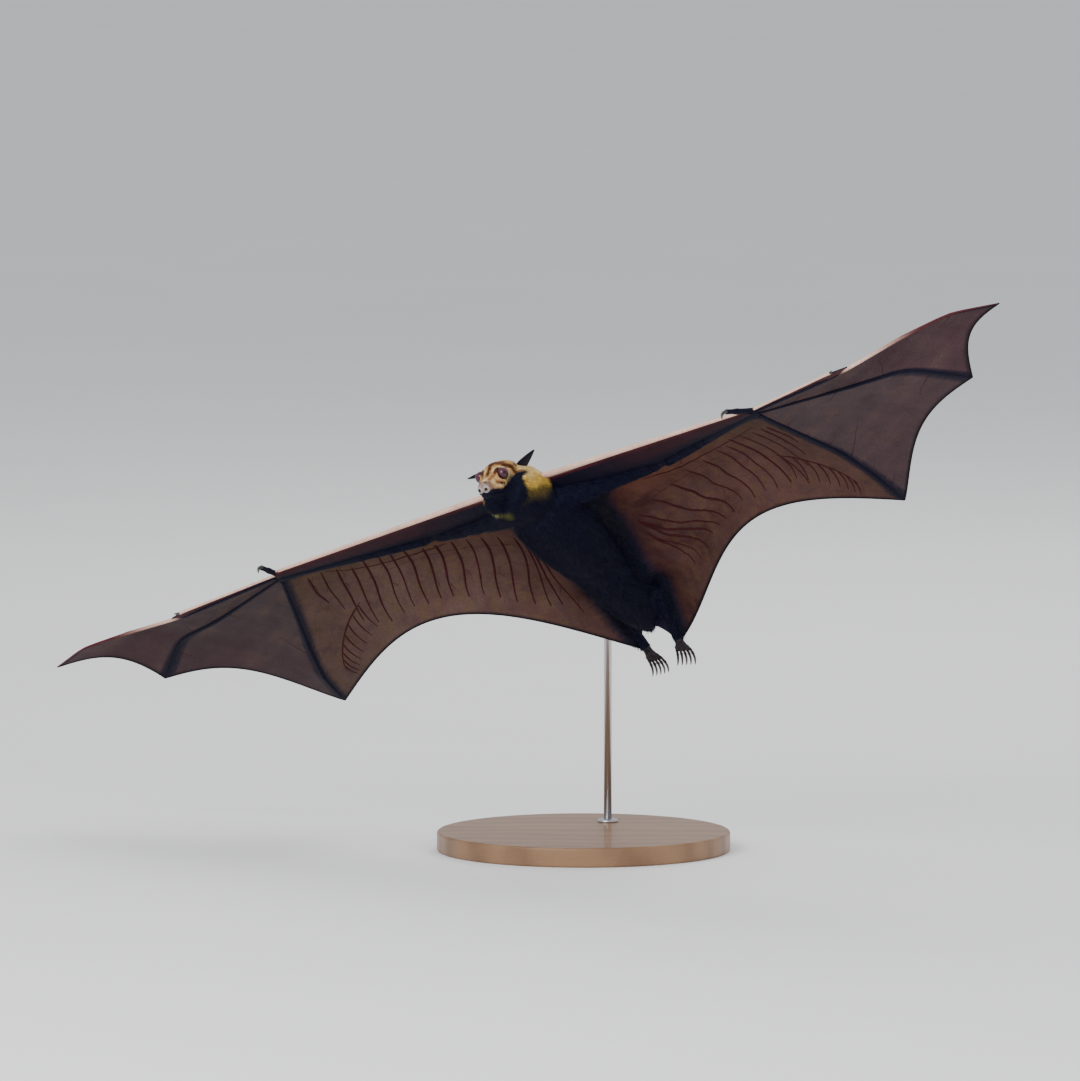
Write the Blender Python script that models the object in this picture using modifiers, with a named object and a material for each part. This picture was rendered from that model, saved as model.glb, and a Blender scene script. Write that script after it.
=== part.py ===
# Spectacled flying fox in gliding flight, life size, on a display stand.
# The bat is modelled in its own frame, in millimetres: +X ahead, +Y to its left, +Z to its back, with
# the origin midway between the shoulders. The last lines turn it into its climb and bank above the base.

import math

import bmesh
import bpy
from mathutils import Matrix, Vector

for item in list(bpy.data.objects):
    bpy.data.objects.remove(item, do_unlink=True)

# Attitude on the stand, in degrees, and the height of the shoulders above the floor.
heading = -141.6
climb = 39.3
bank = 26.7
shoulder_place = Vector((-45.0, -50.0, 360.0))

# Clearance between neighbouring solids, and the thickness of the wing membranes.
gap = 0.3
skin_thickness = 0.7

# Wing bones, the same on both sides. The fingers are given from the palm to the tip.
shoulder_half_width = 37.0
humerus = 110.0
forearm = 168.0
thumb_length = 34.0
finger_three = (118.0, 87.0, 58.0, 54.0)
finger_four = (114.0, 62.0, 66.0)
finger_five = (114.0, 42.0, 42.0)

# Sweep ahead of the sideways line and lift towards the back of each bone, in degrees, for each wing.
# The edge entries are the depth of each trailing edge between two tips, and how far it leans outwards.
wings = {
    "left": {
        "side": 1.0,
        "humerus": (-6.3, 5.2),
        "forearm": (15.5, -10.0),
        "third": ((9.0, -5.5), (-1.5, 15.5), (1.5, 6.0), (-12.5, 1.5)),
        "fourth": ((-7.5, 1.5), (-7.0, 3.5), (-39.0, 1.5)),
        "fifth": ((-77.0, 9.5), (-75.5, -3.5), (-82.0, -2.5)),
        "thumb": Vector((0.80, -0.26, -0.55)),
        "inner_edge": (78.0, 1.30),
        "middle_edge": (21.0, 1.15),
        "outer_edge": (17.0, 1.0),
        "ear": (11.4, 11.8, -15.4),
        "ear_facing": (0.9, 0.35, 0.0),
        "ankle": Vector((-216.0, 20.5, -26.0)),
        "foot": Vector((-0.90, -0.33, 0.0)),
    },
    "right": {
        "side": -1.0,
        "humerus": (0.5, 5.7),
        "forearm": (17.0, -10.5),
        "third": ((4.5, -7.0), (-6.0, 11.0), (4.0, -2.0), (-19.0, 7.0)),
        "fourth": ((-15.0, 2.0), (-12.5, 9.0), (-37.5, -2.0)),
        "fifth": ((-67.0, 0.5), (-75.0, -9.0), (-82.5, 6.5)),
        "thumb": Vector((0.89, -0.11, -0.43)),
        "inner_edge": (97.0, 1.05),
        "middle_edge": (26.0, 1.25),
        "outer_edge": (22.0, 0.92),
        "ear": (-3.2, 24.5, -5.0),
        "ear_facing": (0.45, 0.0, -0.9),
        "ankle": Vector((-216.0, -21.5, -22.5)),
        "foot": Vector((-0.96, -0.10, -0.08)),
    },
}

# Body: stations along its length as (x, height of the centre, half width, half depth), coat included.
trunk_stations = (
    (22.0, -4.0, 27.0, 26.0),
    (8.0, -4.0, 36.0, 34.0),
    (-20.0, -4.0, 39.5, 37.0),
    (-55.0, -3.5, 38.0, 36.5),
    (-92.0, -5.0, 30.5, 29.5),
    (-125.0, -9.0, 26.0, 24.5),
    (-152.0, -12.0, 24.0, 21.5),
    (-175.0, -16.0, 16.0, 14.0),
    (-191.0, -19.0, 8.0, 7.0),
)

# Head: its origin is midway between the eyes. Stations run from the nose to the back of the skull,
# as (distance ahead of the eyes, height of the centre, half width, half depth).
eyes_place = Vector((78.0, 3.0, -18.0))
head_pitch = -53.0
head_yaw = 14.0
head_roll = 2.0
eye_diameter = 12.0
eye_half_spacing = 12.0
eye_ahead = 2.5
eye_drop = 2.0
ear_stations = ((0.0, 5.6, 2.8), (0.25, 4.8, 2.4), (0.5, 3.7, 1.9), (0.75, 2.2, 1.3), (0.93, 0.9, 0.7))
head_stations = (
    (33.0, -8.8, 4.4, 5.2),
    (30.0, -10.6, 6.9, 8.6),
    (25.0, -12.2, 8.6, 10.8),
    (17.0, -11.5, 10.8, 12.2),
    (9.0, -9.8, 13.0, 14.0),
    (2.0, -7.4, 15.6, 15.8),
    (-5.0, -5.8, 17.5, 16.4),
    (-13.0, -6.0, 19.5, 16.5),
    (-22.0, -6.5, 20.0, 16.5),
    (-30.0, -7.0, 18.5, 15.5),
    (-37.0, -8.0, 13.0, 12.0),
)

# Stand: a round base with a crooked rod that enters the lower back.
base_radius = 150.0
base_height = 20.0
base_bevel = 2.0
rod_radius = 4.0
rod_foot = Vector((25.0, 75.0, base_height - 12.0))
rod_entry = Vector((-110.0, 0.0, 20.0))
rod_depth = 12.0
rod_reach = 34.0
rod_crook = 27.0

parts = bpy.data.collections.new("flying_fox")
cutters = bpy.data.collections.new("cutters")
bpy.context.scene.collection.children.link(parts)
bpy.context.scene.collection.children.link(cutters)
cutters.hide_render = True

envelopes = {}


def paint(name, colour, roughness, metallic=0.0):
    """A plain finish for one node."""
    material = bpy.data.materials.new(name)
    material.use_nodes = True
    shader = material.node_tree.nodes["Principled BSDF"]
    shader.inputs["Base Color"].default_value = (*colour, 1.0)
    shader.inputs["Roughness"].default_value = roughness
    shader.inputs["Metallic"].default_value = metallic
    material.diffuse_color = (*colour, 1.0)
    return material


def add_object(name, mesh_builder, finish, collection=parts):
    """Turn a finished bmesh into a named object with its own finish."""
    bmesh.ops.recalc_face_normals(mesh_builder, faces=mesh_builder.faces)
    mesh = bpy.data.meshes.new(name)
    mesh_builder.to_mesh(mesh)
    mesh_builder.free()
    mesh.materials.append(paint(name, *finish))
    built = bpy.data.objects.new(name, mesh)
    collection.objects.link(built)
    return built


def keep_envelope(built):
    """Keep a copy grown by the clearance, to cut the room that its neighbours leave for it."""
    mesh = built.data.copy()
    grown = [vertex.co + vertex.normal * gap * 1.25 for vertex in mesh.vertices]
    for vertex, place in zip(mesh.vertices, grown):
        vertex.co = place
    envelope = bpy.data.objects.new(built.name + "_room", mesh)
    envelope.display_type = "WIRE"
    envelope.hide_render = True
    cutters.objects.link(envelope)
    envelopes[built.name] = envelope
    return built


def bake(built):
    """Apply the modifiers and keep the one largest closed piece."""
    bpy.context.view_layer.update()
    graph = bpy.context.evaluated_depsgraph_get()
    mesh = bpy.data.meshes.new_from_object(built.evaluated_get(graph))
    built.modifiers.clear()
    builder = bmesh.new()
    builder.from_mesh(mesh)
    bmesh.ops.remove_doubles(builder, verts=builder.verts, dist=0.004)
    bmesh.ops.dissolve_degenerate(builder, edges=builder.edges, dist=0.004)
    unseen = set(builder.verts)
    islands = []
    while unseen:
        front = [unseen.pop()]
        island = list(front)
        while front:
            corner = front.pop()
            for edge in corner.link_edges:
                other = edge.other_vert(corner)
                if other in unseen:
                    unseen.discard(other)
                    front.append(other)
                    island.append(other)
        islands.append(island)
    islands.sort(key=len)
    for island in islands[:-1]:
        bmesh.ops.delete(builder, geom=island, context="VERTS")
    bmesh.ops.recalc_face_normals(builder, faces=builder.faces)
    if builder.calc_volume(signed=True) < 0.0:
        bmesh.ops.reverse_faces(builder, faces=builder.faces)
    builder.to_mesh(built.data)
    builder.free()
    return built


def trim(built, neighbours):
    """Cut away the room of every neighbour."""
    for neighbour in neighbours:
        cut = built.modifiers.new(neighbour, "BOOLEAN")
        cut.object = envelopes[neighbour]
        cut.operation = "DIFFERENCE"
        cut.solver = "EXACT"
        cut.use_self = built.name.startswith("wing_inner")
        bake(built)
    return built


def join_rings(rings, first_pole, last_pole):
    """Close a stack of rings with a point at each end."""
    builder = bmesh.new()
    loops = [[builder.verts.new(place) for place in ring] for ring in rings]
    count = len(rings[0])
    for lower, upper in zip(loops, loops[1:]):
        for k in range(count):
            builder.faces.new((lower[k], lower[(k + 1) % count], upper[(k + 1) % count], upper[k]))
    for ring, pole in ((loops[0], first_pole), (loops[-1], last_pole)):
        tip = builder.verts.new(pole)
        for k in range(count):
            builder.faces.new((ring[k], ring[(k + 1) % count], tip))
    return builder


def tube(path, radii, sides=8, back=Vector((0.0, 0.0, 1.0)), blunt=0.5):
    """A limb: rings on a path, each radius one number or a pair (across, towards the back)."""
    rings = []
    for index, place in enumerate(path):
        before = path[max(index - 1, 0)]
        after = path[min(index + 1, len(path) - 1)]
        along = (after - before).normalized()
        across = back.cross(along).normalized()
        upward = along.cross(across)
        radius = radii[index]
        wide, deep = radius if isinstance(radius, tuple) else (radius, radius)
        ring = []
        for k in range(sides):
            turn = math.tau * (k + 0.5) / sides
            ring.append(place + across * (wide * math.cos(turn)) + upward * (deep * math.sin(turn)))
        rings.append(ring)
    first = max(radii[0]) if isinstance(radii[0], tuple) else radii[0]
    last = max(radii[-1]) if isinstance(radii[-1], tuple) else radii[-1]
    start = path[0] + (path[0] - path[1]).normalized() * first * blunt
    end = path[-1] + (path[-1] - path[-2]).normalized() * last * blunt
    return join_rings(rings, start, end)


def loft(stations, sides, front_reach, rear_reach, fullness=2.2):
    """A body form on rounded cross-sections; a station is (x, z, half width, half depth)."""
    rings = []
    for x, z, wide, deep in stations:
        ring = []
        for k in range(sides):
            turn = math.tau * k / sides
            c, s = math.cos(turn), math.sin(turn)
            y_part = math.copysign(abs(c) ** (2.0 / fullness), c)
            z_part = math.copysign(abs(s) ** (2.0 / fullness), s)
            ring.append(Vector((x, wide * y_part, z + deep * z_part)))
        rings.append(ring)
    front, rear = stations[0], stations[-1]
    first = Vector((front[0] + front_reach, 0.0, front[1]))
    last = Vector((rear[0] - rear_reach, 0.0, rear[1]))
    return join_rings(rings, first, last)


def bone_vector(length, angles, side):
    """The run of a bone from its sweep and its lift."""
    sweep, lift = (math.radians(angle) for angle in angles)
    flat = length * math.cos(lift)
    return Vector((flat * math.sin(sweep), side * flat * math.cos(sweep), length * math.sin(lift)))


def chain(start, lengths, angles, side):
    """Joints of a finger, one after the other."""
    joints = [start]
    for length, pair in zip(lengths, angles):
        joints.append(joints[-1] + bone_vector(length, pair, side))
    return joints


def bone_rings(joints, radii):
    """Path and radii of a finger: slim shafts between slightly swollen joints."""
    path, sizes = [joints[0]], [radii[0]]
    for index in range(len(joints) - 1):
        start, end = joints[index], joints[index + 1]
        r_start, r_end = radii[index], radii[index + 1]
        for share in (0.16, 0.5, 0.84):
            path.append(start.lerp(end, share))
            sizes.append((r_start + (r_end - r_start) * share) * 0.82)
        path.append(end)
        sizes.append(r_end)
    return path, sizes


def on_chain(joints, share):
    """The point at a share of a chain's length."""
    runs = [(b - a).length for a, b in zip(joints, joints[1:])]
    rest = share * sum(runs)
    for start, end, run in zip(joints, joints[1:], runs):
        if rest <= run or end is joints[-1]:
            return start.lerp(end, rest / run)
        rest -= run


def edge_curve(start, end, depth, lean, inward):
    """A trailing edge between two tips, drawn in by its depth."""
    chord = end - start
    across = chord.cross(Vector((0.0, 0.0, 1.0))).normalized()
    if across.dot(inward) < 0.0:
        across.negate()
    return lambda share: start + chord * share + across * (depth * math.sin(math.pi * share ** lean))


def membrane(name, across_count, along_count, place, finish):
    """A thin closed sheet on a surface given over two shares, each from 0 to 1."""
    builder = bmesh.new()
    bmesh.ops.create_grid(builder, x_segments=across_count, y_segments=along_count, size=0.5)
    for corner in builder.verts:
        corner.co = place(corner.co.x + 0.5, corner.co.y + 0.5)
    bmesh.ops.triangulate(builder, faces=builder.faces)
    built = add_object(name, builder, finish)
    thick = built.modifiers.new("thickness", "SOLIDIFY")
    thick.thickness = skin_thickness
    thick.offset = 0.0
    thick.use_even_offset = False
    return bake(built)


def patch(top, inner, outer, edge, billow):
    """A surface between the arm, the body side, a finger and the trailing edge."""
    top_inner, top_outer = top(0.0), top(1.0)
    edge_inner, edge_outer = edge(0.0), edge(1.0)

    def place(u, v):
        rows = top(u) * (1.0 - v) + edge(u) * v
        columns = inner(v) * (1.0 - u) + outer(v) * u
        corners = (top_inner * (1.0 - v) + edge_inner * v) * (1.0 - u)
        corners = corners + (top_outer * (1.0 - v) + edge_outer * v) * u
        lift = billow * math.sin(math.pi * u) * math.sin(math.pi * min(v * 0.9 + 0.05, 1.0))
        return rows + columns - corners + Vector((0.0, 0.0, lift))

    return place


def fan(first, second, edge, billow):
    """A surface between two fingers that part at the wrist."""
    def place(u, v):
        straight = on_chain(first, v) * (1.0 - u) + on_chain(second, v) * u
        tips = first[-1] * (1.0 - u) + second[-1] * u
        pull = (edge(u) - tips) * v ** 2.2
        lift = billow * math.sin(math.pi * u) * math.sin(math.pi * v * 0.8)
        return straight + pull + Vector((0.0, 0.0, lift))

    return place


# Finishes as colour, roughness.
black_fur = ((0.018, 0.016, 0.018), 0.9)
mantle_fur = ((0.62, 0.44, 0.12), 0.9)
face_fur = ((0.50, 0.28, 0.09), 0.9)
ear_skin = ((0.03, 0.025, 0.035), 0.6)
wing_skin = ((0.11, 0.065, 0.05), 0.55)
bone_skin = ((0.03, 0.022, 0.028), 0.55)
claw_horn = ((0.02, 0.018, 0.018), 0.35)
eye_wet = ((0.16, 0.05, 0.03), 0.08)
oiled_wood = ((0.20, 0.11, 0.055), 0.45)
steel = ((0.55, 0.55, 0.56), 0.3, 1.0)

# Head, in its own axes, then turned into place.
head_turn = Matrix.Translation(eyes_place) @ Matrix.Rotation(math.radians(head_yaw), 4, "Z")
head_turn = head_turn @ Matrix.Rotation(math.radians(-head_pitch), 4, "Y")
head_turn = head_turn @ Matrix.Rotation(math.radians(head_roll), 4, "X")

head_form = loft(head_stations, 20, 2.0, 5.0, 2.15)
bmesh.ops.transform(head_form, matrix=head_turn, verts=head_form.verts)
head = add_object("head", head_form, face_fur)
keep_envelope(head)

trunk = add_object("trunk", loft(trunk_stations, 20, 5.0, 3.0), black_fur)
keep_envelope(trunk)

neck_start = Vector((14.0, 0.0, -5.0))
neck_end = head_turn @ Vector((-16.0, -2.0, -18.0))
neck_path = [neck_start.lerp(neck_end, share) for share in (0.0, 0.3, 0.6, 1.0)]
neck_radii = [(34.0, 32.0), (35.0, 33.0), (35.5, 32.5), (31.0, 27.0)]
neck = add_object("neck", tube(neck_path, neck_radii, 20, Vector((0.4, 0.0, 1.0)), 0.1), mantle_fur)
keep_envelope(neck)

for name, wing in wings.items():
    side = wing["side"]

    # Eyes in sockets of the head.
    builder = bmesh.new()
    bmesh.ops.create_icosphere(builder, subdivisions=2, radius=eye_diameter / 2.0)
    seat = head_turn @ Matrix.Translation((eye_ahead, side * eye_half_spacing, -eye_drop))
    bmesh.ops.transform(builder, matrix=seat, verts=builder.verts)
    eye = keep_envelope(add_object("eye_" + name, builder, eye_wet))
    trim(head, ["eye_" + name])

    # Ears: pointed leaves set behind the eyes.
    up_part, side_part, ahead_part = wing["ear"]
    ear_run = Vector((ahead_part, side * side_part, up_part))
    ear_root = Vector((-29.0, side * 19.5, -3.0))
    leaf = []
    for share, wide, deep in ear_stations:
        leaf.append((head_turn @ (ear_root + ear_run * share), (wide, deep)))
    facing_ahead, facing_side, facing_up = wing["ear_facing"]
    facing = head_turn.to_3x3() @ Vector((facing_ahead, side * facing_side, facing_up))
    ear_form = tube([spot for spot, size in leaf], [size for spot, size in leaf], 10, facing, 1.2)
    ear = keep_envelope(add_object("ear_" + name, ear_form, ear_skin))
    trim(ear, ["head", "neck"])

    # Arm bones in their flesh and fur.
    shoulder = Vector((-5.0, side * shoulder_half_width, 4.0))
    elbow = shoulder + bone_vector(humerus, wing["humerus"], side)
    wrist = elbow + bone_vector(forearm, wing["forearm"], side)
    arm_path = [shoulder.lerp(elbow, share) for share in (-0.1, 0.1, 0.35, 0.65, 0.95)]
    arm_sizes = [(17.0, 14.0), (15.0, 13.0), (11.5, 10.5), (9.5, 8.5), (8.0, 7.0)]
    upper_arm = keep_envelope(add_object("upper_arm_" + name, tube(arm_path, arm_sizes, 12), black_fur))
    fore_path = [elbow.lerp(wrist, share) for share in (0.0, 0.12, 0.35, 0.65, 0.88, 0.97, 1.01)]
    fore_sizes = [(6.5, 6.5), (7.5, 7.0), (6.6, 6.0), (5.0, 4.4), (4.0, 3.6), (7.0, 4.2), (6.6, 3.8)]
    fore_arm = keep_envelope(add_object("forearm_" + name, tube(fore_path, fore_sizes, 10), bone_skin))
    trim(upper_arm, ["trunk", "neck"])
    trim(fore_arm, ["upper_arm_" + name])

    # Thumb with its hooked claw.
    thumb_axis = Vector((wing["thumb"].x, side * wing["thumb"].y, wing["thumb"].z)).normalized()
    thumb_root = wrist + Vector((4.0, side * -2.5, 0.0))
    thumb_tip = thumb_root + thumb_axis * thumb_length
    thumb_path = [thumb_root.lerp(thumb_tip, share) for share in (0.0, 0.3, 0.48, 0.56, 0.8, 1.0)]
    thumb_form = tube(thumb_path, [2.6, 2.5, 2.5, 2.9, 2.2, 2.5], 8)
    thumb = keep_envelope(add_object("thumb_" + name, thumb_form, bone_skin))
    trim(thumb, ["forearm_" + name])
    claw_down = (Vector((-0.35, 0.0, -0.94)) - thumb_axis * 0.2).normalized()
    claw_path, claw_sizes = [], []
    for step in range(6):
        bend = math.radians(95.0) * step / 5.0
        hook = thumb_axis * math.sin(bend) + claw_down * (1.0 - math.cos(bend))
        claw_path.append(thumb_tip + thumb_axis * 1.2 + hook * 7.5)
        claw_sizes.append(1.9 * (1.0 - step / 5.0) + 0.35)
    claw_form = tube(claw_path, claw_sizes, 8, Vector((0.0, 1.0, 0.0)))
    claw = keep_envelope(add_object("thumb_claw_" + name, claw_form, claw_horn))
    trim(claw, ["thumb_" + name])

    # Fingers, rooted side by side on the wrist.
    roots = {"second": 5.4, "third": 1.9, "fourth": -1.8, "fifth": -5.6}
    spread = {key: wrist + Vector((ahead, side * 1.0, 0.0)) for key, ahead in roots.items()}
    third = chain(wrist, finger_three, wing["third"], side)
    fourth = chain(wrist, finger_four, wing["fourth"], side)
    fifth = chain(wrist, finger_five, wing["fifth"], side)
    second_tip = third[1] + Vector((7.0, 0.0, -1.0))
    fingers = {
        "second": [spread["second"], second_tip],
        "third": [spread["third"]] + third[1:],
        "fourth": [spread["fourth"]] + fourth[1:],
        "fifth": [spread["fifth"]] + fifth[1:],
    }
    thickness = {
        "second": (1.6, 1.7),
        "third": (1.7, 2.3, 1.9, 1.2, 0.6),
        "fourth": (1.6, 2.1, 1.7, 0.7),
        "fifth": (2.0, 2.4, 1.9, 0.7),
    }
    for key, joints in fingers.items():
        path, sizes = bone_rings(joints, thickness[key])
        if key == "second":
            ahead = (joints[1] - joints[0]).normalized()
            path += [joints[1] + ahead * 3.0 + Vector((1.2, 0.0, -0.4))]
            path += [joints[1] + ahead * 5.0 + Vector((3.4, 0.0, -1.6))]
            sizes += [1.3, 0.45]
        finger = keep_envelope(add_object("finger_" + key + "_" + name, tube(path, sizes, 6), bone_skin))
        trim(finger, ["forearm_" + name, "thumb_" + name])

    # Hind leg: thigh and shank folded along the tail end, toes hooked with claws.
    hip = Vector((-146.0, side * 14.0, -9.0))
    knee = Vector((-157.0, side * 25.0, 5.0))
    ankle = wing["ankle"]
    thigh_path = [hip.lerp(knee, share) for share in (-0.2, 0.3, 0.7, 1.0)]
    thigh_form = tube(thigh_path, [9.0, 10.0, 9.5, 7.0], 10)
    thigh = keep_envelope(add_object("thigh_" + name, thigh_form, black_fur))
    shank_path = [knee.lerp(ankle, share) for share in (0.02, 0.2, 0.5, 0.8, 1.0)]
    shank_form = tube(shank_path, [8.0, 8.4, 7.8, 7.0, 6.4], 10)
    shank = keep_envelope(add_object("shank_" + name, shank_form, black_fur))
    trim(thigh, ["trunk"])
    trim(shank, ["thigh_" + name, "trunk"])

    back_way = wing["foot"].normalized()
    toe_side = Vector((0.0, 0.0, 1.0)).cross(back_way).normalized()
    toe_side = toe_side if toe_side.y > 0.0 else -toe_side
    sole = toe_side.cross(back_way).normalized()
    sole = sole if sole.z < 0.0 else -sole
    palm_path = [ankle + back_way * run for run in (-4.0, 2.0, 7.5, 12.0)]
    foot_form = tube(palm_path, [(4.6, 4.2), (5.2, 3.9), (6.8, 3.3), (7.6, 2.8)], 10, -sole)
    foot = add_object("foot_" + name, foot_form, bone_skin)
    for toe in range(5):
        offset = (toe - 2) * 3.5
        start = ankle + back_way * 8.5 + toe_side * offset * 0.9
        along = (back_way + toe_side * offset * 0.022).normalized()
        toe_path = [start, start + along * 7.0 - sole * 0.8, start + along * 12.5 - sole * 0.6]
        toe_path += [start + along * 17.0 + sole * 1.0, start + along * 20.0 + sole * 3.6]
        toe_path += [start + along * 21.2 + sole * 8.0]
        toe_form = tube(toe_path, [1.5, 1.55, 1.6, 1.45, 1.0, 0.4], 6, toe_side)
        toe_object = add_object("toe", toe_form, claw_horn, cutters)
        toe_object.display_type = "WIRE"
        toe_object.hide_render = True
        weld = foot.modifiers.new("toe", "BOOLEAN")
        weld.object = toe_object
        weld.operation = "UNION"
        weld.solver = "EXACT"
    bake(foot)
    keep_envelope(foot)
    trim(foot, ["shank_" + name])

    # Membranes.
    arm_line = [Vector((-8.0, side * 20.0, 8.0)), elbow, wrist]
    flank_line = [arm_line[0], Vector((-90.0, side * 14.0, 12.0)), hip, knee, ankle]
    inner_edge = edge_curve(ankle, fifth[-1], *wing["inner_edge"], Vector((1.0, 0.0, 0.0)))
    surface = patch(
        lambda u: on_chain(arm_line, u),
        lambda v: on_chain(flank_line, v),
        lambda v: on_chain(fingers["fifth"], v),
        inner_edge,
        11.0,
    )
    plagio = membrane("wing_inner_" + name, 11, 7, surface, wing_skin)
    body_side = ["trunk", "upper_arm_" + name, "forearm_" + name, "thigh_" + name, "shank_" + name, "foot_" + name]
    trim(plagio, body_side + ["finger_fifth_" + name])

    inward = wrist - fifth[-1]
    middle_edge = edge_curve(fifth[-1], fourth[-1], *wing["middle_edge"], inward)
    surface = fan(fingers["fifth"], fingers["fourth"], middle_edge, 7.0)
    middle = membrane("wing_middle_" + name, 6, 8, surface, wing_skin)
    trim(middle, ["forearm_" + name, "finger_fifth_" + name, "finger_fourth_" + name])

    outer_edge = edge_curve(fourth[-1], third[-1], *wing["outer_edge"], wrist - fourth[-1])
    surface = fan(fingers["fourth"], fingers["third"], outer_edge, 5.0)
    outer = membrane("wing_outer_" + name, 4, 11, surface, wing_skin)
    neighbours = ["forearm_" + name, "finger_fourth_" + name, "finger_third_" + name]
    trim(outer, neighbours)

    web_end = third[1].lerp(third[2], 0.2)
    third_front = [fingers["third"][0], third[1], web_end]
    second_front = [fingers["second"][0], second_tip, web_end + Vector((2.5, 0.0, 0.0))]

    def tip_web(u, v):
        return on_chain(second_front, v) * (1.0 - u) + on_chain(third_front, v) * u

    web = membrane("wing_tip_web_" + name, 1, 6, tip_web, wing_skin)
    trim(web, ["forearm_" + name, "finger_second_" + name, "finger_third_" + name])

    lead_start = Vector((30.0, side * 16.0, 9.0))
    lead_line = [lead_start, thumb_root + thumb_axis * 12.0]

    def forewing(u, v):
        lead = on_chain(lead_line, u)
        rear = on_chain(arm_line, u)
        bulge = Vector((0.0, 0.0, -3.0 * math.sin(math.pi * v)))
        return rear * v + lead * (1.0 - v) + bulge

    fore = membrane("wing_front_" + name, 10, 2, forewing, wing_skin)
    body_side = ["trunk", "neck", "head", "upper_arm_" + name, "forearm_" + name, "thumb_" + name]
    trim(fore, body_side)

    # Narrow skin along the inner side of the leg.
    tail_point = Vector((-186.0, side * 1.0, -20.0))

    def leg_skin(u, v):
        leg = on_chain([knee, ankle + Vector((6.0, 0.0, 0.0))], u)
        inner = tail_point.lerp(ankle, u) + Vector((6.0, side * 1.5, 1.5)) * math.sin(math.pi * u)
        return leg * (1.0 - v) + inner * v

    leg_web = membrane("leg_web_" + name, 5, 2, leg_skin, wing_skin)
    trim(leg_web, ["trunk", "thigh_" + name, "shank_" + name, "foot_" + name])

trim(neck, ["trunk", "head"])

# Turn the bat into its climb and bank, in metres above the floor.
attitude = Matrix.Rotation(math.radians(heading), 4, "Z") @ Matrix.Rotation(math.radians(-climb), 4, "Y")
attitude = attitude @ Matrix.Rotation(math.radians(bank), 4, "X")
placed = Matrix.Translation(shoulder_place) @ attitude

# Stand: the rod rises behind the right wing, then bends over into the back.
entry = placed @ rod_entry
outward = (placed.to_3x3() @ Vector((0.0, 0.0, 1.0))).normalized()
turn_point = entry + outward * rod_reach
rise = Vector((rod_foot.x, rod_foot.y, turn_point.z - rod_crook * 0.7))
rod_path = [rod_foot, rise]
for step in range(1, 9):
    share = step / 8.0
    pull = Vector((rod_foot.x, rod_foot.y, rise.z + rod_crook * 1.6))
    lean = turn_point + outward * rod_crook * 0.6
    first_leg, last_leg = rise.lerp(pull, share), lean.lerp(turn_point, share)
    rod_path.append(first_leg.lerp(last_leg, share))
rod_path += [entry + outward * 6.0, entry - outward * rod_depth]
rod_form = tube(rod_path, [rod_radius] * len(rod_path), 12, Vector((1.0, 0.0, 0.0)), 0.0)
rod = add_object("stand_rod", rod_form, steel)
keep_envelope(rod)

builder = bmesh.new()
bmesh.ops.create_cone(
    builder, cap_ends=True, segments=40, radius1=base_radius, radius2=base_radius, depth=base_height,
    matrix=Matrix.Translation((0.0, 0.0, base_height / 2.0)),
)
base = add_object("stand_base", builder, oiled_wood)
round_edge = base.modifiers.new("round edge", "BEVEL")
round_edge.width = base_bevel
round_edge.segments = 1
round_edge.limit_method = "ANGLE"
round_edge.angle_limit = math.radians(40.0)
bake(base)
trim(base, ["stand_rod"])

for built in parts.objects:
    if not built.name.startswith("stand_"):
        built.data.transform(placed)
trim(trunk, ["stand_rod"])

for built in parts.objects:
    built.data.transform(Matrix.Scale(0.001, 4))
for cutter in list(cutters.objects):
    bpy.data.objects.remove(cutter, do_unlink=True)
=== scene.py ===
import math

import bmesh
import bpy
import numpy as np
from mathutils import Matrix, Vector


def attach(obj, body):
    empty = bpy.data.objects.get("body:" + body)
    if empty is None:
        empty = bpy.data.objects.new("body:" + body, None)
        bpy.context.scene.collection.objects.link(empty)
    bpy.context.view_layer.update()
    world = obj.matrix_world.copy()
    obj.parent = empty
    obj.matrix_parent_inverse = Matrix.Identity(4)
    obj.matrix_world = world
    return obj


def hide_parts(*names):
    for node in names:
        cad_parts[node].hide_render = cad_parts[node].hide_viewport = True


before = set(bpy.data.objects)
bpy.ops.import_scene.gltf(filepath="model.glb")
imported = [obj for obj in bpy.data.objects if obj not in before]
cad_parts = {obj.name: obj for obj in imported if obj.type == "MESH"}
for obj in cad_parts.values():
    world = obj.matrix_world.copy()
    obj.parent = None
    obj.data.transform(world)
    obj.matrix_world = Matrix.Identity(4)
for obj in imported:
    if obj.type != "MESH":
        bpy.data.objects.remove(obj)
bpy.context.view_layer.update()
print("frame loaded")

# The bat is worked in its own frame, in millimetres: +X ahead, +Y to its left, +Z to its back, from
# midway between the shoulders. batToWorld sets a finished piece on its stand, in metres.
attitude = {"heading": -141.6, "climb": 39.3, "bank": 26.7, "shoulders": Vector((-45.0, -50.0, 360.0))}
batTurn = Matrix.Rotation(math.radians(attitude["heading"]), 4, "Z")
batTurn = batTurn @ Matrix.Rotation(math.radians(-attitude["climb"]), 4, "Y")
batTurn = batTurn @ Matrix.Rotation(math.radians(attitude["bank"]), 4, "X")
batPlaced = Matrix.Translation(attitude["shoulders"]) @ batTurn
batToWorld = Matrix.Scale(0.001, 4) @ batPlaced
worldToBat = batToWorld.inverted()

headPose = {"eyes": Vector((78.0, 3.0, -18.0)), "pitch": -53.0, "yaw": 14.0, "roll": 2.0}
headToBat = Matrix.Translation(headPose["eyes"]) @ Matrix.Rotation(math.radians(headPose["yaw"]), 4, "Z")
headToBat = headToBat @ Matrix.Rotation(math.radians(-headPose["pitch"]), 4, "Y")
headToBat = headToBat @ Matrix.Rotation(math.radians(headPose["roll"]), 4, "X")
batToHead = headToBat.inverted()

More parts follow.
